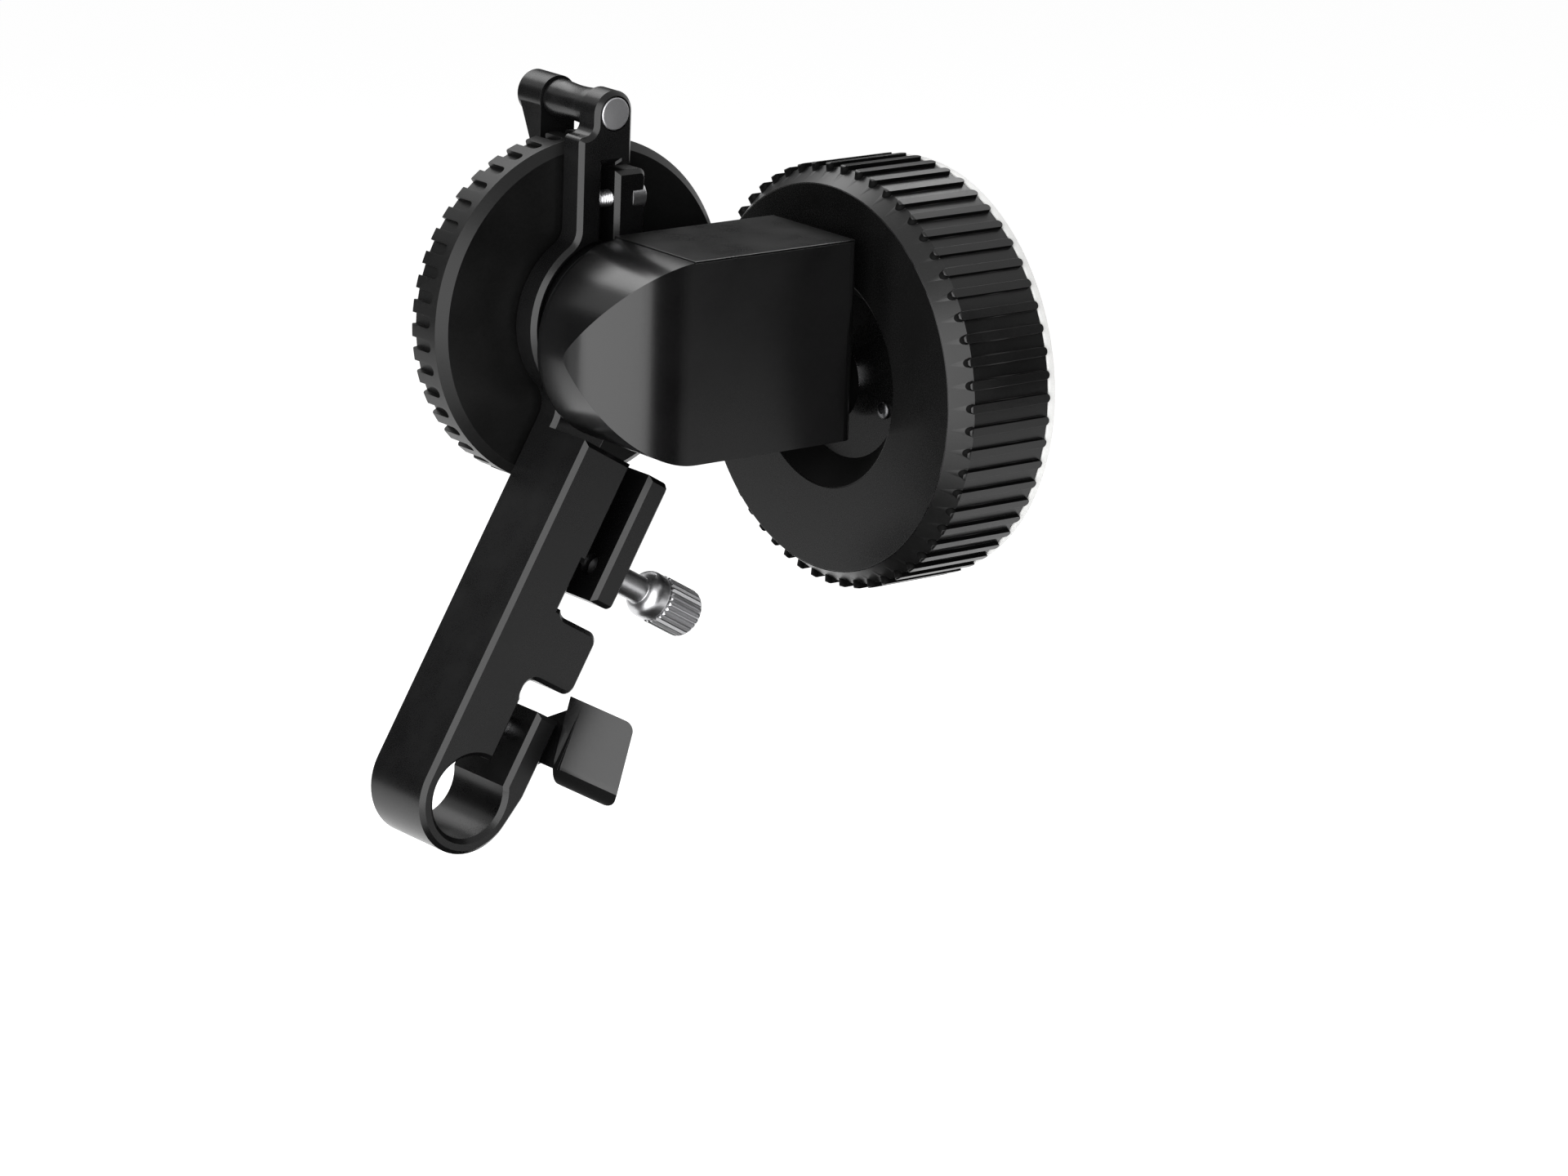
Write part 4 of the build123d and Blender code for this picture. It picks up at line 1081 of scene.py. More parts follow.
@dataclass
class Gearbox(SubAssembly):
    """The swivelling housing with its cover, and the parts that stay in it.

    Lengths are in millimetres, in the frame of the whole unit.
    """

    body: str = "gearbox"
    swivel_x: float = 34.7
    swivel_z: float = 79.1
    front: float = -24.2
    back: float = 0.6
    bottom: float = 58.9
    top: float = 94.9
    right: float = 69.5
    plan_corner: float = 16.0
    end_round: float = 2.4
    rear_round: float = 3.0
    least_round: float = 0.5
    wall: float = 2.0
    end_wall: float = 3.0
    cutter_over: float = 4.0
    plan_over: float = 5.0
    lid_thickness: float = 2.2
    lid_drop: float = 0.05
    lid_rim: float = 0.35
    lid_gap: float = 0.35
    rim_drop: float = 0.28
    lid_left: float = 1.4
    lid_side: float = 0.3
    lip_step: float = 0.2
    lip_width: float = 1.2
    lip_height: float = 1.2
    lip_hollow: float = 1.0
    neck_radius: float = 13.9
    neck_length: float = 7.6
    neck_spigot: float = 11.0
    bearing_seat: float = 8.02
    bearing_room: float = 5.8
    neck_bore: float = 6.0
    wheel_axis_z: float = 67.1
    boss_radius: float = 8.0
    boss_length: float = 4.4
    boss_spigot: float = 7.4
    boss_bore: float = 4.0
    boss_seat: float = 6.52
    boss_seat_depth: float = 5.0
    spigot_depth: float = 1.5
    edge_round: float = 0.22
    shading_limit: float = 4.0
    bearings: tuple[str, ...] = (
        "lay_bearing_left", "lay_bearing_right", "knob_bearing_inner", "knob_bearing_outer", "wheel_bearing",
    )

    @property
    def middle_z(self) -> float:
        """Height of the middle of the box."""
        return (self.bottom + self.top) / 2

    @property
    def middle_y(self) -> float:
        """Middle of the box from front to back."""
        return (self.front + self.back) / 2

    def round_ended(self, name: str, inset: float) -> Piece:
        """Model a body with a half-round left end, too long at the front and right.

        Args:
            name: Name of the piece.
            inset: How far it stays inside the box's outline.

        Returns:
            The body.
        """
        radius, over = self.top - self.middle_z - inset, self.cutter_over
        front, back = self.front - over, self.back - inset
        let_go()
        bpy.ops.mesh.primitive_plane_add(size=1.0, rotation=(0.0, math.pi / 2, 0.0))
        piece = bpy.context.object
        piece.name = name
        piece.location = millimetres(self.swivel_x, (front + back) / 2, self.middle_z + radius / 2)
        piece.scale = (radius * MM, (back - front) * MM, 1.0)
        settle(piece)
        corner = millimetres(self.swivel_x, back, self.middle_z + radius)
        with editing(piece):
            mesh = bmesh.from_edit_mesh(piece.data)
            for vertex in mesh.verts:
                vertex.select_set((vertex.co - corner).length < MM)
            bmesh.update_edit_mesh(piece.data)
            width = max(self.rear_round - inset, self.least_round) * MM
            bpy.ops.mesh.bevel(offset=width, segments=6, affect="VERTICES", profile=0.5)
            bpy.ops.mesh.select_all(action="SELECT")
            centre = millimetres(self.swivel_x, 0.0, self.middle_z)
            bpy.ops.mesh.spin(steps=96, angle=math.pi, center=centre, axis=BACK)
        close_up(piece)
        reach = millimetres(self.right + over - self.swivel_x, 0.0, 0.0)
        with faces_of(piece, lambda at, facing: (
                abs(at.x / MM - self.swivel_x) < NEAR and abs(facing.x) > FACING)):
            bpy.ops.mesh.extrude_region_move(TRANSFORM_OT_translate={"value": reach})
        close_up(piece)
        return piece

    def plan_block(self, name: str, inset: float, right: float) -> Piece:
        """Model a tall block with the large rounded corner at the front left.

        Args:
            name: Name of the piece.
            inset: How far it stays inside the box's outline.
            right: Where its right side is.

        Returns:
            The block.
        """
        left = self.swivel_x - (self.top - self.middle_z) + inset - HAIR
        front, over = self.front + inset, self.plan_over
        piece = block(name, (left, front, self.bottom - over), (right, self.back + over, self.top + over))
        bevel_edges(piece, self.plan_corner - inset + HAIR, 40, lambda one, two: (
            max(one.x, two.x) < left + NEAR and max(one.y, two.y) < front + NEAR))
        if not inset:
            bevel_edges(piece, self.end_round, 8, lambda one, two: (
                min(one.x, two.x) > right - NEAR and max(one.y, two.y) < front + NEAR))
        return piece

    def shell(self) -> Piece:
        """Model the hollow housing with its seats for the lid, the neck and the boss.

        Returns:
            The new piece.
        """
        wall, rim, inside = self.wall, self.lid_rim, self.right - self.end_wall
        piece = self.round_ended("gearbox_shell", 0.0)
        trim(piece, self.plan_block("plan", 0.0, self.right))
        room = self.round_ended("room", wall)
        trim(room, self.plan_block("room_plan", wall, inside))
        cut(piece, room)
        past, over, left = self.right + wall, self.top + wall, self.swivel_x - self.lid_left
        y, z = self.middle_y, self.wheel_axis_z
        cut(
            piece,
            block("rim_step", (left - rim, self.front - wall, self.top - self.rim_drop),
                  (past, self.back + wall, over)),
            block("opening", (self.swivel_x, self.front + wall, self.middle_z),
                  (inside, self.back - wall, over)),
            block("lid_seat", (left, self.front + rim, self.top - self.lid_thickness),
                  (self.right - rim, self.back - rim, over)),
            rod("neck_seat", self.neck_spigot, (self.swivel_x, self.back - 2 * wall, self.swivel_z),
                (self.swivel_x, self.back + wall, self.swivel_z)),
            rod("boss_seat", self.boss_spigot, (self.right - self.spigot_depth, y, z), (past, y, z)),
            rod("shaft_hole", self.boss_bore, (self.right - 2 * wall, y, z), (past, y, z)),
        )
        close_up(piece, SHELL_SEAM)
        soften(piece, self.edge_round, 60.0, 2, self.shading_limit)
        return piece

    def lid(self) -> Piece:
        """Model the flat lid with its lip.

        Returns:
            The new piece.
        """
        gap, rim = self.lid_gap, self.lid_rim + self.lid_gap
        low = (self.swivel_x - self.lid_left + gap, self.front + rim, self.top - self.lid_thickness)
        piece = block("gearbox_lid", low, (self.right - rim, self.back - rim, self.top - self.lid_drop))
        lip = self.wall + gap
        with faces_of(piece, lambda at, facing: facing.z < -FACING):
            for width, drop in (
                (lip - rim + self.lip_step, -self.lip_height), (self.lip_width, self.lip_hollow),
            ):
                bpy.ops.mesh.inset(thickness=width * MM)
                step = millimetres(0.0, 0.0, drop)
                bpy.ops.mesh.extrude_region_move(TRANSFORM_OT_translate={"value": step})
        soften(piece, self.edge_round)
        return piece

    def neck(self) -> Piece:
        """Turn the neck that swivels in the bracket's ring.

        Returns:
            The new piece.
        """
        end, floor = self.neck_length, self.neck_length - self.bearing_room
        outline = [
            (self.neck_bore, -self.wall), (self.neck_spigot, -self.wall), (self.neck_spigot, 0.0),
            (self.neck_radius, 0.0), (self.neck_radius, end), (self.bearing_seat, end),
            (self.bearing_seat, floor), (self.neck_bore, floor),
        ]
        foot = (self.swivel_x, self.back, self.swivel_z)
        piece = turned("gearbox_swivel_neck", outline, foot, BACK, 128)
        soften(piece, self.edge_round)
        return piece

    def boss(self) -> Piece:
        """Turn the boss that holds the hand wheel's outer bearing.

        Returns:
            The new piece.
        """
        end, seat = self.boss_length, self.boss_length - self.boss_seat_depth
        outline = [
            (self.boss_bore, -self.spigot_depth), (self.boss_spigot, -self.spigot_depth),
            (self.boss_spigot, 0.0), (self.boss_radius, 0.0), (self.boss_radius, end),
            (self.boss_seat, end), (self.boss_seat, seat), (self.boss_bore, seat),
        ]
        foot = (self.right, self.middle_y, self.wheel_axis_z)
        piece = turned("hand_wheel_boss", outline, foot, RIGHT)
        soften(piece, self.edge_round)
        return piece

    def build(self) -> None:
        """Make and dress the housing, the lid, the neck and the boss, and dress the rest."""
        self.stand_in(self.shell(), self.body, BLACK_SATIN, "gearbox_housing")
        lid = self.lid()
        self.stand_in(lid, self.body, BLACK_ANODISED, "top_cover")
        # The lid's upright sides get the darker black: a painted shadow line in the seam between lid and box.
        dress_faces(lid, PAINTED_SHADE_BLACK, lambda at, facing: abs(facing.z) < self.lid_side)
        self.stand_in(self.neck(), self.body, BLACK_SATIN, "gearbox_neck")
        # The boss deep in the hand wheel's recess gets the darker black: painted shade in the recess.
        self.stand_in(self.boss(), self.body, PAINTED_SHADE_BLACK, "knob_boss")
        self.dress_nodes(MILLED_ALUMINIUM, "bearing_plate")
        self.dress_nodes(BRIGHT_STEEL, *self.bearings)


@dataclass
class GearTrain(SubAssembly):
    """Shafts and gears between the hand wheel and the drive wheel."""

    def build(self) -> None:
        """Dress the gears, shafts, spacer and clip."""
        self.dress_nodes(
            BRIGHT_STEEL, "lay_shaft", "lay_bevel", "wheel_bevel", "wheel_shaft", "knob_shaft", "knob_spacer",
        )
        self.dress_nodes(CUT_BRASS, "lay_gear", "knob_gear")
        self.dress_nodes(DARK_STEEL, "wheel_clip")


@dataclass
class DriveWheel(SubAssembly):
    """The grooved wheel that drives the lens.

    Lengths are in millimetres, in the frame of the whole unit.
    """

    axis_x: float = 34.7
    axis_z: float = 79.1
    front: float = 8.85
    back: float = 17.85
    radius: float = 31.2
    face_radius: float = 29.6
    chamfer: float = 1.7
    rear_chamfer: float = 0.4
    rim: float = 5.0
    web: float = 6.0
    hub_radius: float = 8.0
    boss_radius: float = 5.2
    boss_front: float = 7.85
    bore: float = 4.02
    grooves: int = 45
    groove_width: float = 2.1
    groove_depth: float = 1.1
    groove_start: float = 3.2
    edge_round: float = 0.2

    def blank(self) -> Piece:
        """Turn the wheel without its grooves: a cup, open to the rear, with a hub.

        Returns:
            The new piece.
        """
        floor, inner, edge = self.front + self.web, self.radius - self.rim, self.rear_chamfer
        outline = [
            (self.bore, self.boss_front), (self.boss_radius, self.boss_front), (self.boss_radius, self.front),
            (self.face_radius, self.front), (self.radius, self.front + self.chamfer),
            (self.radius, self.back - edge), (self.radius - edge, self.back), (inner, self.back),
            (inner, floor), (self.hub_radius, floor), (self.hub_radius, self.back), (self.bore, self.back),
        ]
        foot = (self.axis_x, 0.0, self.axis_z)
        return turned("grooved_drive_wheel", outline, foot, BACK, 3 * self.grooves)

    def groove(self) -> Piece:
        """Shape the cutter of the groove at the top: a bar with a half-round end.

        Returns:
            The cutter.
        """
        floor = self.axis_z + self.radius - self.groove_depth
        high, half = floor + 2 * self.groove_depth, self.groove_width / 2
        start, x = self.front + self.groove_start + half, self.axis_x
        bar = block("groove", (x - half, start, floor), (x + half, self.back + half, high))
        weld(bar, rod("groove_end", half, (x, start, floor), (x, start, high), 24))
        return bar

    def build(self) -> None:
        """Make and dress the wheel."""
        wheel = self.blank()
        cut(wheel, ring_of(self.groove(), self.grooves, (self.axis_x, 0.0, self.axis_z), BACK))
        close_up(wheel, CUT_SEAM)
        soften(wheel, self.edge_round)
        self.stand_in(wheel, "drive", MOULDED_BLACK, "drive_wheel")


@dataclass
class HandWheel(SubAssembly):
    """The ribbed hand wheel with its pale marking disc.

    Lengths are in millimetres, in the frame of the whole unit.
    """

    body: str = "hand_wheel"
    axis_y: float = -11.8
    axis_z: float = 67.1
    left: float = 72.0
    right: float = 93.4
    recess_radius: float = 19.6
    recess_taper: float = 4.6
    recess_depth: float = 5.2
    face_radius: float = 34.8
    core_round: float = 0.35
    pocket_radius: float = 16.0
    pocket_depth: float = 9.0
    pocket_gap: float = 0.1
    hub_flange: float = 1.5
    hub_bore: float = 3.02
    disc_seat_radius: float = 34.4
    disc_seat: float = 1.4
    disc_gap: float = 0.1
    disc_lift: float = 0.03
    disc_inner: float = 19.0
    disc_thickness: float = 2.0
    screw_circle: float = 12.0
    screw_first: float = 200.0
    screw_count: int = 3
    screw_head: float = 0.9
    screw_head_side: float = 0.35
    screw_head_radius: float = 1.6
    screw_socket: float = 0.62
    screw_socket_floor: float = 0.35
    screw_shank: float = 0.84
    screw_length: float = 5.0
    screw_pitch: float = 0.35
    screw_plain: float = 0.3
    valley_radius: float = 37.45
    rib_radius: float = 38.2
    bevel: float = 3.8
    ribs: int = 58
    rib_width: float = 1.6
    rib_inset: float = 2.5
    rib_slope: float = 0.6
    rib_crown: float = 0.22
    rib_sink: float = 2.2
    rib_gap: float = 0.1
    rib_foot: float = 0.5
    rib_steep: float = 0.45
    ring_round: float = 0.12
    rim: float = 0.9
    rim_radius: float = 37.7
    edge_round: float = 0.2

    @property
    def foot(self) -> Point:
        """The axis's point at the middle of the unit."""
        return 0.0, self.axis_y, self.axis_z

    @property
    def floor(self) -> float:
        """Where the floor of the left recess is."""
        return self.left + self.recess_depth

    @property
    def pocket(self) -> float:
        """Where the floor of the right pocket is."""
        return self.right - self.pocket_depth

    def outward(self, at: Vector) -> Vector:
        """Give the way from the axis to a place."""
        return at - millimetres(at.x / MM, self.axis_y, self.axis_z)

    def core(self) -> Piece:
        """Turn the core: a ring with a tapered recess, a pocket and a seat for the disc.

        Returns:
            The new piece.
        """
        bore, seat = self.recess_radius - self.recess_taper, self.right - self.disc_seat
        shoulder, end = self.pocket - self.hub_flange, self.right - self.rim
        outline = [
            (bore, self.floor), (self.recess_radius, self.left), (self.face_radius, self.left),
            (self.face_radius, end), (self.disc_seat_radius, end), (self.disc_seat_radius, seat),
            (self.pocket_radius, seat), (self.pocket_radius, shoulder), (bore, shoulder),
        ]
        piece = turned("hand_wheel_core", outline, self.foot, RIGHT, 160)
        soften(piece, self.core_round, steps=3)
        return piece

    def in_recess(self, at: Vector, facing: Vector) -> bool:
        """Say whether a face of the core belongs to the tapered wall of its left recess.

        Args:
            at: Centre of the face.
            facing: Its normal.

        Returns:
            True where it does.
        """
        out = self.outward(at)
        return at.x < self.floor * MM and out.length < self.recess_radius * MM and out.dot(facing) < 0

    def hub(self) -> Piece:
        """Turn the hub and drill it for its three screws.

        Returns:
            The new piece.
        """
        plug, flange = self.recess_radius - self.recess_taper - HAIR, self.pocket_radius - self.pocket_gap
        shoulder = self.pocket - self.hub_flange
        outline = [
            (self.hub_bore, self.floor), (plug, self.floor), (plug, shoulder), (flange, shoulder),
            (flange, self.pocket), (self.hub_bore, self.pocket),
        ]
        piece = turned("hand_wheel_hub", outline, self.foot, RIGHT)
        place = (self.axis_y + self.screw_circle, self.axis_z)
        start, reach = self.floor - OVER, self.floor + self.screw_length
        hole = rod("hole", self.screw_shank + HAIR, (start, *place), (reach, *place), 24)
        cut(piece, ring_of(hole, self.screw_count, self.foot, RIGHT, self.screw_first))
        soften(piece, self.edge_round)
        return piece

    def screws(self) -> Piece:
        """Turn one domed screw with a hexagon socket and set three on their circle.

        Returns:
            The new piece.
        """
        radius, high, side = self.screw_head_radius, self.screw_head, self.screw_head_side
        crown = [(radius * math.cos(t), -high * (side + (1.0 - side) * math.sin(t)))
                 for t in (math.radians(15 * i) for i in range(6))]
        outline = [
            (0.0, self.screw_length),
            *thread(self.screw_shank, self.screw_length, self.screw_plain, self.screw_pitch),
            (self.screw_shank, 0.0), (radius, 0.0), *crown, (0.0, -high),
        ]
        place = (self.axis_y + self.screw_circle, self.axis_z)
        piece = turned("hub_screw_heads", outline, (self.floor, *place), RIGHT, 32)
        start, end = self.floor - 2 * high, self.floor - self.screw_socket_floor
        cut(piece, rod("socket", self.screw_socket, (start, *place), (end, *place), 6))
        smooth(piece)
        return ring_of(piece, self.screw_count, self.foot, RIGHT, self.screw_first)

    def grip(self) -> Piece:
        """Turn the grip's ring and stand the round-ended ribs on it.

        Returns:
            The new piece.
        """
        inner, end = self.face_radius + HAIR, self.right - self.rim
        outline = [
            (inner, self.left), (self.valley_radius, self.left + self.bevel), (self.valley_radius, end),
            (inner, end),
        ]
        piece = turned("ribbed_grip", outline, self.foot, RIGHT, 4 * self.ribs)
        soften(piece, self.ring_round, 35.0)
        weld(piece, ring_of(self.rib(), self.ribs, self.foot, RIGHT))
        smooth(piece, 35.0)
        return piece

    def rib(self) -> Piece:
        """Shape the rib at the top: a low bar with round ends, sunk into the ring.

        Returns:
            The new piece.
        """
        half, low = self.rib_width / 2, self.axis_z + self.valley_radius - self.rib_sink
        high, y = self.axis_z + self.rib_radius, self.axis_y
        start, end = self.left + self.rib_inset, self.right - self.rim - self.rib_gap
        bar = block("rib", (start, y - self.rib_width, low), (end, y + self.rib_width, high))
        bevel_edges(bar, self.rib_slope, 6, lambda one, two: (
            min(one.z, two.z) > high - NEAR and max(one.x, two.x) < start + NEAR))
        under, over = low - OVER, high + OVER
        plan = block("rib_plan", (start + half, y - half, under), (end - half, y + half, over))
        for at in (start + half, end - half):
            weld(plan, rod("rib_end", half, (at, y, under), (at, y, over), 20))
        trim(bar, plan)
        round_over(bar, self.rib_crown, 50.0, 2)
        return bar

    def beside_rib(self, at: Vector, facing: Vector) -> bool:
        """Say whether a face of the grip is the steep side or end of a rib.

        Args:
            at: Centre of the face.
            facing: Its normal.

        Returns:
            True where it does.
        """
        out = self.outward(at)
        inside = self.left + self.bevel / 4 < at.x / MM < self.right - self.rim - self.rib_gap / 2
        standing = out.length > (self.face_radius + self.rib_foot) * MM
        return inside and standing and out.normalized().dot(facing) < self.rib_steep

    def disc(self) -> Piece:
        """Turn the flat marking disc, whose edge closes the grip's right end.

        Returns:
            The new piece.
        """
        seat, radius = self.right - self.disc_seat, self.disc_seat_radius - self.disc_gap
        step, end = self.right - self.rim + self.disc_lift, seat + self.disc_thickness
        outline = [
            (self.disc_inner, seat), (radius, seat), (radius, step), (self.rim_radius, step),
            (self.rim_radius, end), (self.disc_inner, end),
        ]
        piece = turned("pale_marking_disc", outline, self.foot, RIGHT, 160)
        soften(piece, self.edge_round)
        return piece

    def build(self) -> None:
        """Make and dress the core, the hub, the grip, the disc and the screws."""
        core = self.core()
        self.stand_in(core, self.body, WHEEL_BLACK, "knob_body")
        # The recess's tapered wall gets the darker black: painted shade in the recess.
        dress_faces(core, PAINTED_SHADE_BLACK, self.in_recess)
        self.stand_in(self.hub(), self.body, WHEEL_BLACK, "knob_hub")
        grip = self.grip()
        self.stand_in(grip, self.body, GRIP_RUBBER, "knob_grip")
        # The ribs' steep sides and ends get the darker black: painted shade lines along each rib.
        dress_faces(grip, PAINTED_SHADE_BLACK, self.beside_rib)
        self.stand_in(self.disc(), self.body, PALE_PLATE, "marking_disc")
        self.stand_in(self.screws(), self.body, DARK_STEEL, "hub_screws")
        centre = SocketScrew(
            "centre_socket_screw", self.foot, RIGHT, tip=73.7, seat=self.pocket, radius=2.0, pitch=0.7,
            head_radius=4.0, head=2.6, socket=1.7, socket_depth=1.8, plain=3.0,
        ).build()
        self.stand_in(centre, self.body, DARK_STEEL, "knob_screw")


# ---------------------------------------------------------------- studio


@dataclass(frozen=True)
class Bearing:
    """A direction and a distance from the object.

    Attributes:
        around: Angle from the front (-Y) towards the left (-X), in degrees.
        above: Angle above the horizon, in degrees.
        distance: Distance from the object, in metres.
    """

    around: float
    above: float
    distance: float

    def place(self, target: Vector) -> Vector:
        """Give the point in this direction from a target.

        Args:
            target: The point that the direction starts from.

        Returns:
            The point.
        """
        turn, rise = math.radians(self.around), math.radians(self.above)
        level = math.cos(rise)
        way = Vector((-math.sin(turn) * level, -math.cos(turn) * level, math.sin(rise)))
        return target + self.distance * way

    def facing(self, target: Vector) -> Matrix:
        """Give the placement of a flat thing that stands here and faces the target.

        Args:
            target: The point that it faces.

        Returns:
            The placement.
        """
        place = self.place(target)
        turn = (place - target).to_track_quat("Z", "Y")
        return Matrix.Translation(place) @ turn.to_matrix().to_4x4()


@dataclass(frozen=True)
class Panel:
    """A rectangle that stands beside the object and faces it.

    Attributes:
        name: Name of the panel.
        bearing: Where it stands.
        width: Width in metres.
        height: Height in metres.
    """

    name: str
    bearing: Bearing
    width: float
    height: float


@dataclass(frozen=True)
class SoftBox(Panel):
    """One rectangular area lamp.

    Attributes:
        glow: Brightness of its face, where 1 is white.
    """

    glow: float

    def put_up(self, target: Vector) -> None:
        """Add the lamp and turn it to a target.

        Args:
            target: The point that it faces.
        """
        lamp = bpy.data.lights.new(self.name, "AREA")
        lamp.shape = "RECTANGLE"
        lamp.size, lamp.size_y = self.width, self.height
        lamp.energy = self.glow * math.pi * self.width * self.height
        holder = bpy.data.objects.new(self.name, lamp)
        bpy.context.scene.collection.objects.link(holder)
        holder.matrix_world = self.bearing.facing(target)
        holder.visible_camera = False


@dataclass(frozen=True)
class DarkCard(Panel):
    """A black card that shiny surfaces mirror."""

    def put_up(self, target: Vector) -> None:
        """Add the card; only mirrored rays meet it, so it throws no shadow.

        Args:
            target: The point that it faces.
        """
        let_go()
        bpy.ops.mesh.primitive_plane_add(size=1.0)
        card = bpy.context.object
        card.name = self.name
        card.matrix_world = self.bearing.facing(target) @ Matrix.Diagonal((self.width, self.height, 1.0, 1.0))
        made = bpy.data.materials.get("black_card") or bpy.data.materials.new("black_card")
        made.use_nodes = True
        shader = made.node_tree.nodes["Principled BSDF"]
        plug(made.node_tree, shader, {"Base Color": (0.01, 0.01, 0.01, 1.0), "Specular IOR Level": 0.0})
        card.data.materials.append(made)
        card.visible_camera = card.visible_diffuse = card.visible_shadow = False
        card.visible_transmission = card.visible_volume_scatter = False
        card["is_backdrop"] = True


@dataclass
class Studio:
    """Camera, lamps, pale floor and white surroundings.

    Attributes:
        azimuth: Camera direction about Z, in degrees.
        elevation: Camera height angle, in degrees.
        roll: Turn of the camera about its own line, in degrees.
        camera_place: Where the camera stands, in metres.
        lens: Focal length in millimetres on the sensor below.
        sensor: Sensor width in millimetres.
        floor_height: Height of the floor, in metres.
        floor_size: Width of the floor, in metres.
        floor_tone: Grey of the floor.
        floor_glow: Light that the floor adds where it is seen or mirrored.
        surround: Grey of the surroundings as a light.
        lamps: The soft boxes.
        cards: The black cards.
    """

    azimuth: float = -38.79
    elevation: float = 15.83
    roll: float = 2.06
    camera_place: Point = (-0.5701, -0.8019, 0.3168)
    lens: float = 135.504
    sensor: float = 36.0
    floor_height: float = -0.2
    floor_size: float = 16.0
    floor_tone: float = 0.86
    floor_glow: float = 0.62
    surround: float = 0.4
    lamps: tuple[SoftBox, ...] = (
        SoftBox("left_soft_box", Bearing(62.0, 10.0, 0.6), 1.3, 0.72, 4.0),
        SoftBox("back_soft_box", Bearing(190.0, 52.0, 0.8), 0.6, 0.4, 4.0),
        SoftBox("back_right_light", Bearing(-124.0, 44.0, 0.8), 0.25, 0.2, 6.0),
    )
    cards: tuple[DarkCard, ...] = (
        DarkCard("front_card", Bearing(-12.0, 12.0, 0.7), 1.3, 0.7),
        DarkCard("back_right_card", Bearing(-141.0, 16.0, 0.8), 0.75, 0.36),
        DarkCard("corner_card", Bearing(-5.0, -15.0, 0.55), 0.33, 0.3),
        DarkCard("back_left_card", Bearing(144.0, 5.0, 0.7), 0.42, 0.48),
        DarkCard("low_card", Bearing(0.0, -80.0, 0.2), 0.3, 0.3),
    )

    def set_camera(self) -> None:
        """Place the camera and make it the scene's."""
        a, e, roll = (math.radians(v) for v in (self.azimuth, self.elevation, self.roll))
        back = Vector((math.sin(a) * math.cos(e), -math.cos(a) * math.cos(e), math.sin(e)))
        right = Vector((math.cos(a), math.sin(a), 0.0))
        up = back.cross(right)
        turned_right = right * math.cos(roll) + up * math.sin(roll)
        turned_up = up * math.cos(roll) - right * math.sin(roll)
        data = bpy.data.cameras.new("view_camera")
        data.sensor_width = self.sensor
        data.lens = self.lens
        data.clip_start, data.clip_end = 0.01, 50.0
        camera = bpy.data.objects.new("view_camera", data)
        bpy.context.scene.collection.objects.link(camera)
        turn = Matrix((turned_right, turned_up, back)).transposed().to_4x4()
        camera.matrix_world = Matrix.Translation(self.camera_place) @ turn
        bpy.context.scene.camera = camera

    def lay_floor(self) -> None:
        """Add the pale floor; it can't be seen from below."""
        let_go()
        bpy.ops.mesh.primitive_plane_add(size=self.floor_size, location=(0.0, 0.0, self.floor_height))
        floor = bpy.context.object
        floor.name = "studio_floor"
        made = bpy.data.materials.new("pale_floor")
        made.use_nodes = True
        tree = made.node_tree
        plain = tree.nodes["Principled BSDF"]
        tone = (self.floor_tone, self.floor_tone, self.floor_tone, 1.0)
        plug(tree, plain, {"Base Color": tone, "Roughness": 0.9, "Specular IOR Level": 0.0})
        glow = add_node(tree, "Emission", {"Strength": self.floor_glow})
        lit = add_node(tree, "AddShader", {0: plain.outputs[0], 1: glow.outputs[0]})
        above = self._mix(tree, self._seen(tree), plain, lit)
        below = add_node(tree, "NewGeometry", {}).outputs["Backfacing"]
        shown = self._mix(tree, below, above, add_node(tree, "BsdfTransparent", {}))
        plug(tree, tree.nodes["Material Output"], {"Surface": shown.outputs[0]})
        floor.data.materials.append(made)
        floor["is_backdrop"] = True

    @staticmethod
    def _mix(
        tree: bpy.types.NodeTree, share: Socket, first: bpy.types.Node, second: bpy.types.Node
    ) -> bpy.types.Node:
        """Mix two shaders by the second one's share."""
        return add_node(tree, "MixShader", {0: share, 1: first.outputs[0], 2: second.outputs[0]})

    @staticmethod
    def _seen(tree: bpy.types.NodeTree) -> Socket:
        """Give 1 for camera, glossy and transmission rays and 0 for others.

        Args:
            tree: The node tree of a material or a world.

        Returns:
            The socket with that value.
        """
        path = add_node(tree, "LightPath", {})
        seen = path.outputs["Is Camera Ray"]
        for ray in ("Is Glossy Ray", "Is Transmission Ray"):
            seen = add_node(tree, "Math", {0: seen, 1: path.outputs[ray]}, operation="MAXIMUM").outputs[0]
        return seen

    def surround_with_white(self) -> None:
        """Make a world that is seen and mirrored as white and lights as grey."""
        world = bpy.data.worlds.new("white_room")
        world.use_nodes = True
        tree = world.node_tree
        plain = tree.nodes["Background"]
        plug(tree, plain, {"Color": WHITE, "Strength": self.surround})
        bright = add_node(tree, "Background", {"Color": WHITE, "Strength": 1.0})
        shown = self._mix(tree, self._seen(tree), plain, bright)
        plug(tree, tree.nodes["World Output"], {"Surface": shown.outputs[0]})
        bpy.context.scene.world = world

    def set_up(self, target: Vector) -> None:
        """Set up camera, lamps, cards, floor and world.

        Args:
            target: Middle of the object, which the lamps and cards face.
        """
        bpy.context.scene.view_settings.view_transform = "Standard"
        self.set_camera()
        self.lay_floor()
        self.surround_with_white()
        for thing in (*self.lamps, *self.cards):
            thing.put_up(target)


# ---------------------------------------------------------------- build all


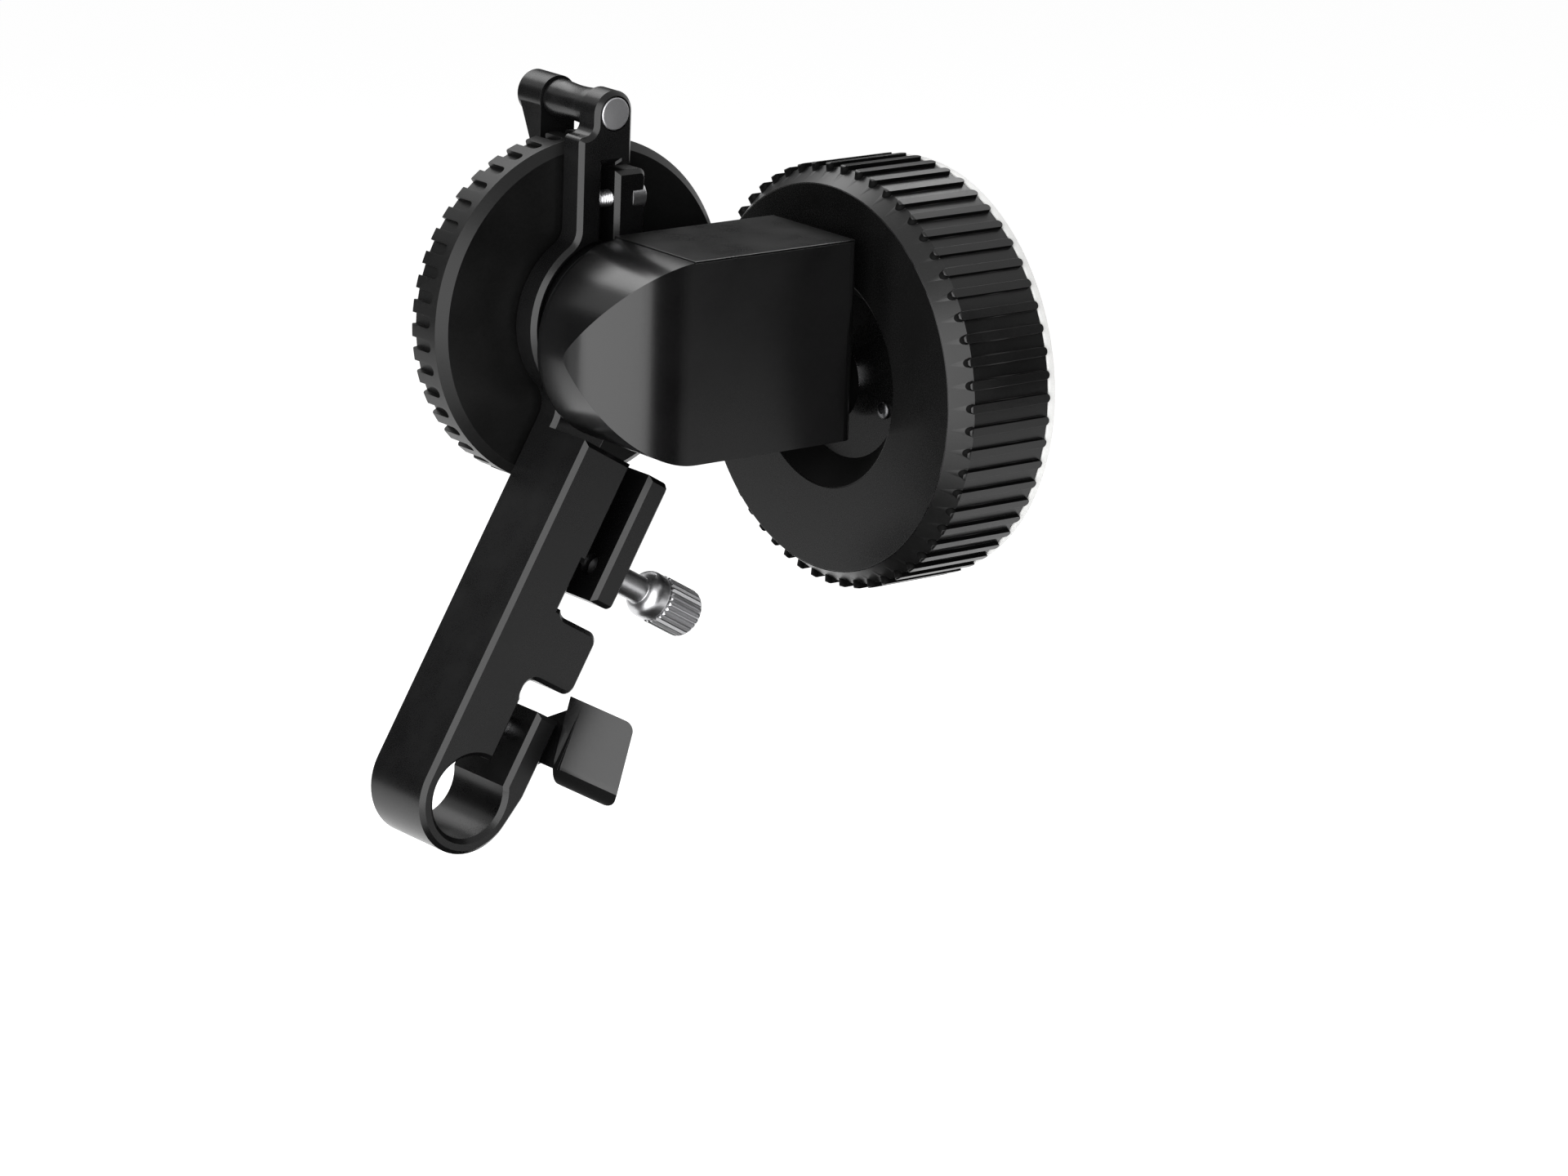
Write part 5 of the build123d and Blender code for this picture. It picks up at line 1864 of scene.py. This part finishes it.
def main() -> None:
    """Load the frame, build each sub-assembly and set up the studio."""
    logging.basicConfig(level=logging.INFO, format="%(message)s")
    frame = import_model()
    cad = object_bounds()
    nodes = frame["nodes"]
    for assembly in (
        BracketFrame(nodes), Fasteners(nodes), Gearbox(nodes),
        GearTrain(nodes), DriveWheel(nodes), HandWheel(nodes),
    ):
        assembly.build()
    let_go()
    Studio().set_up((cad[0] + cad[1]) / 2)


if __name__ == "__main__":
    main()
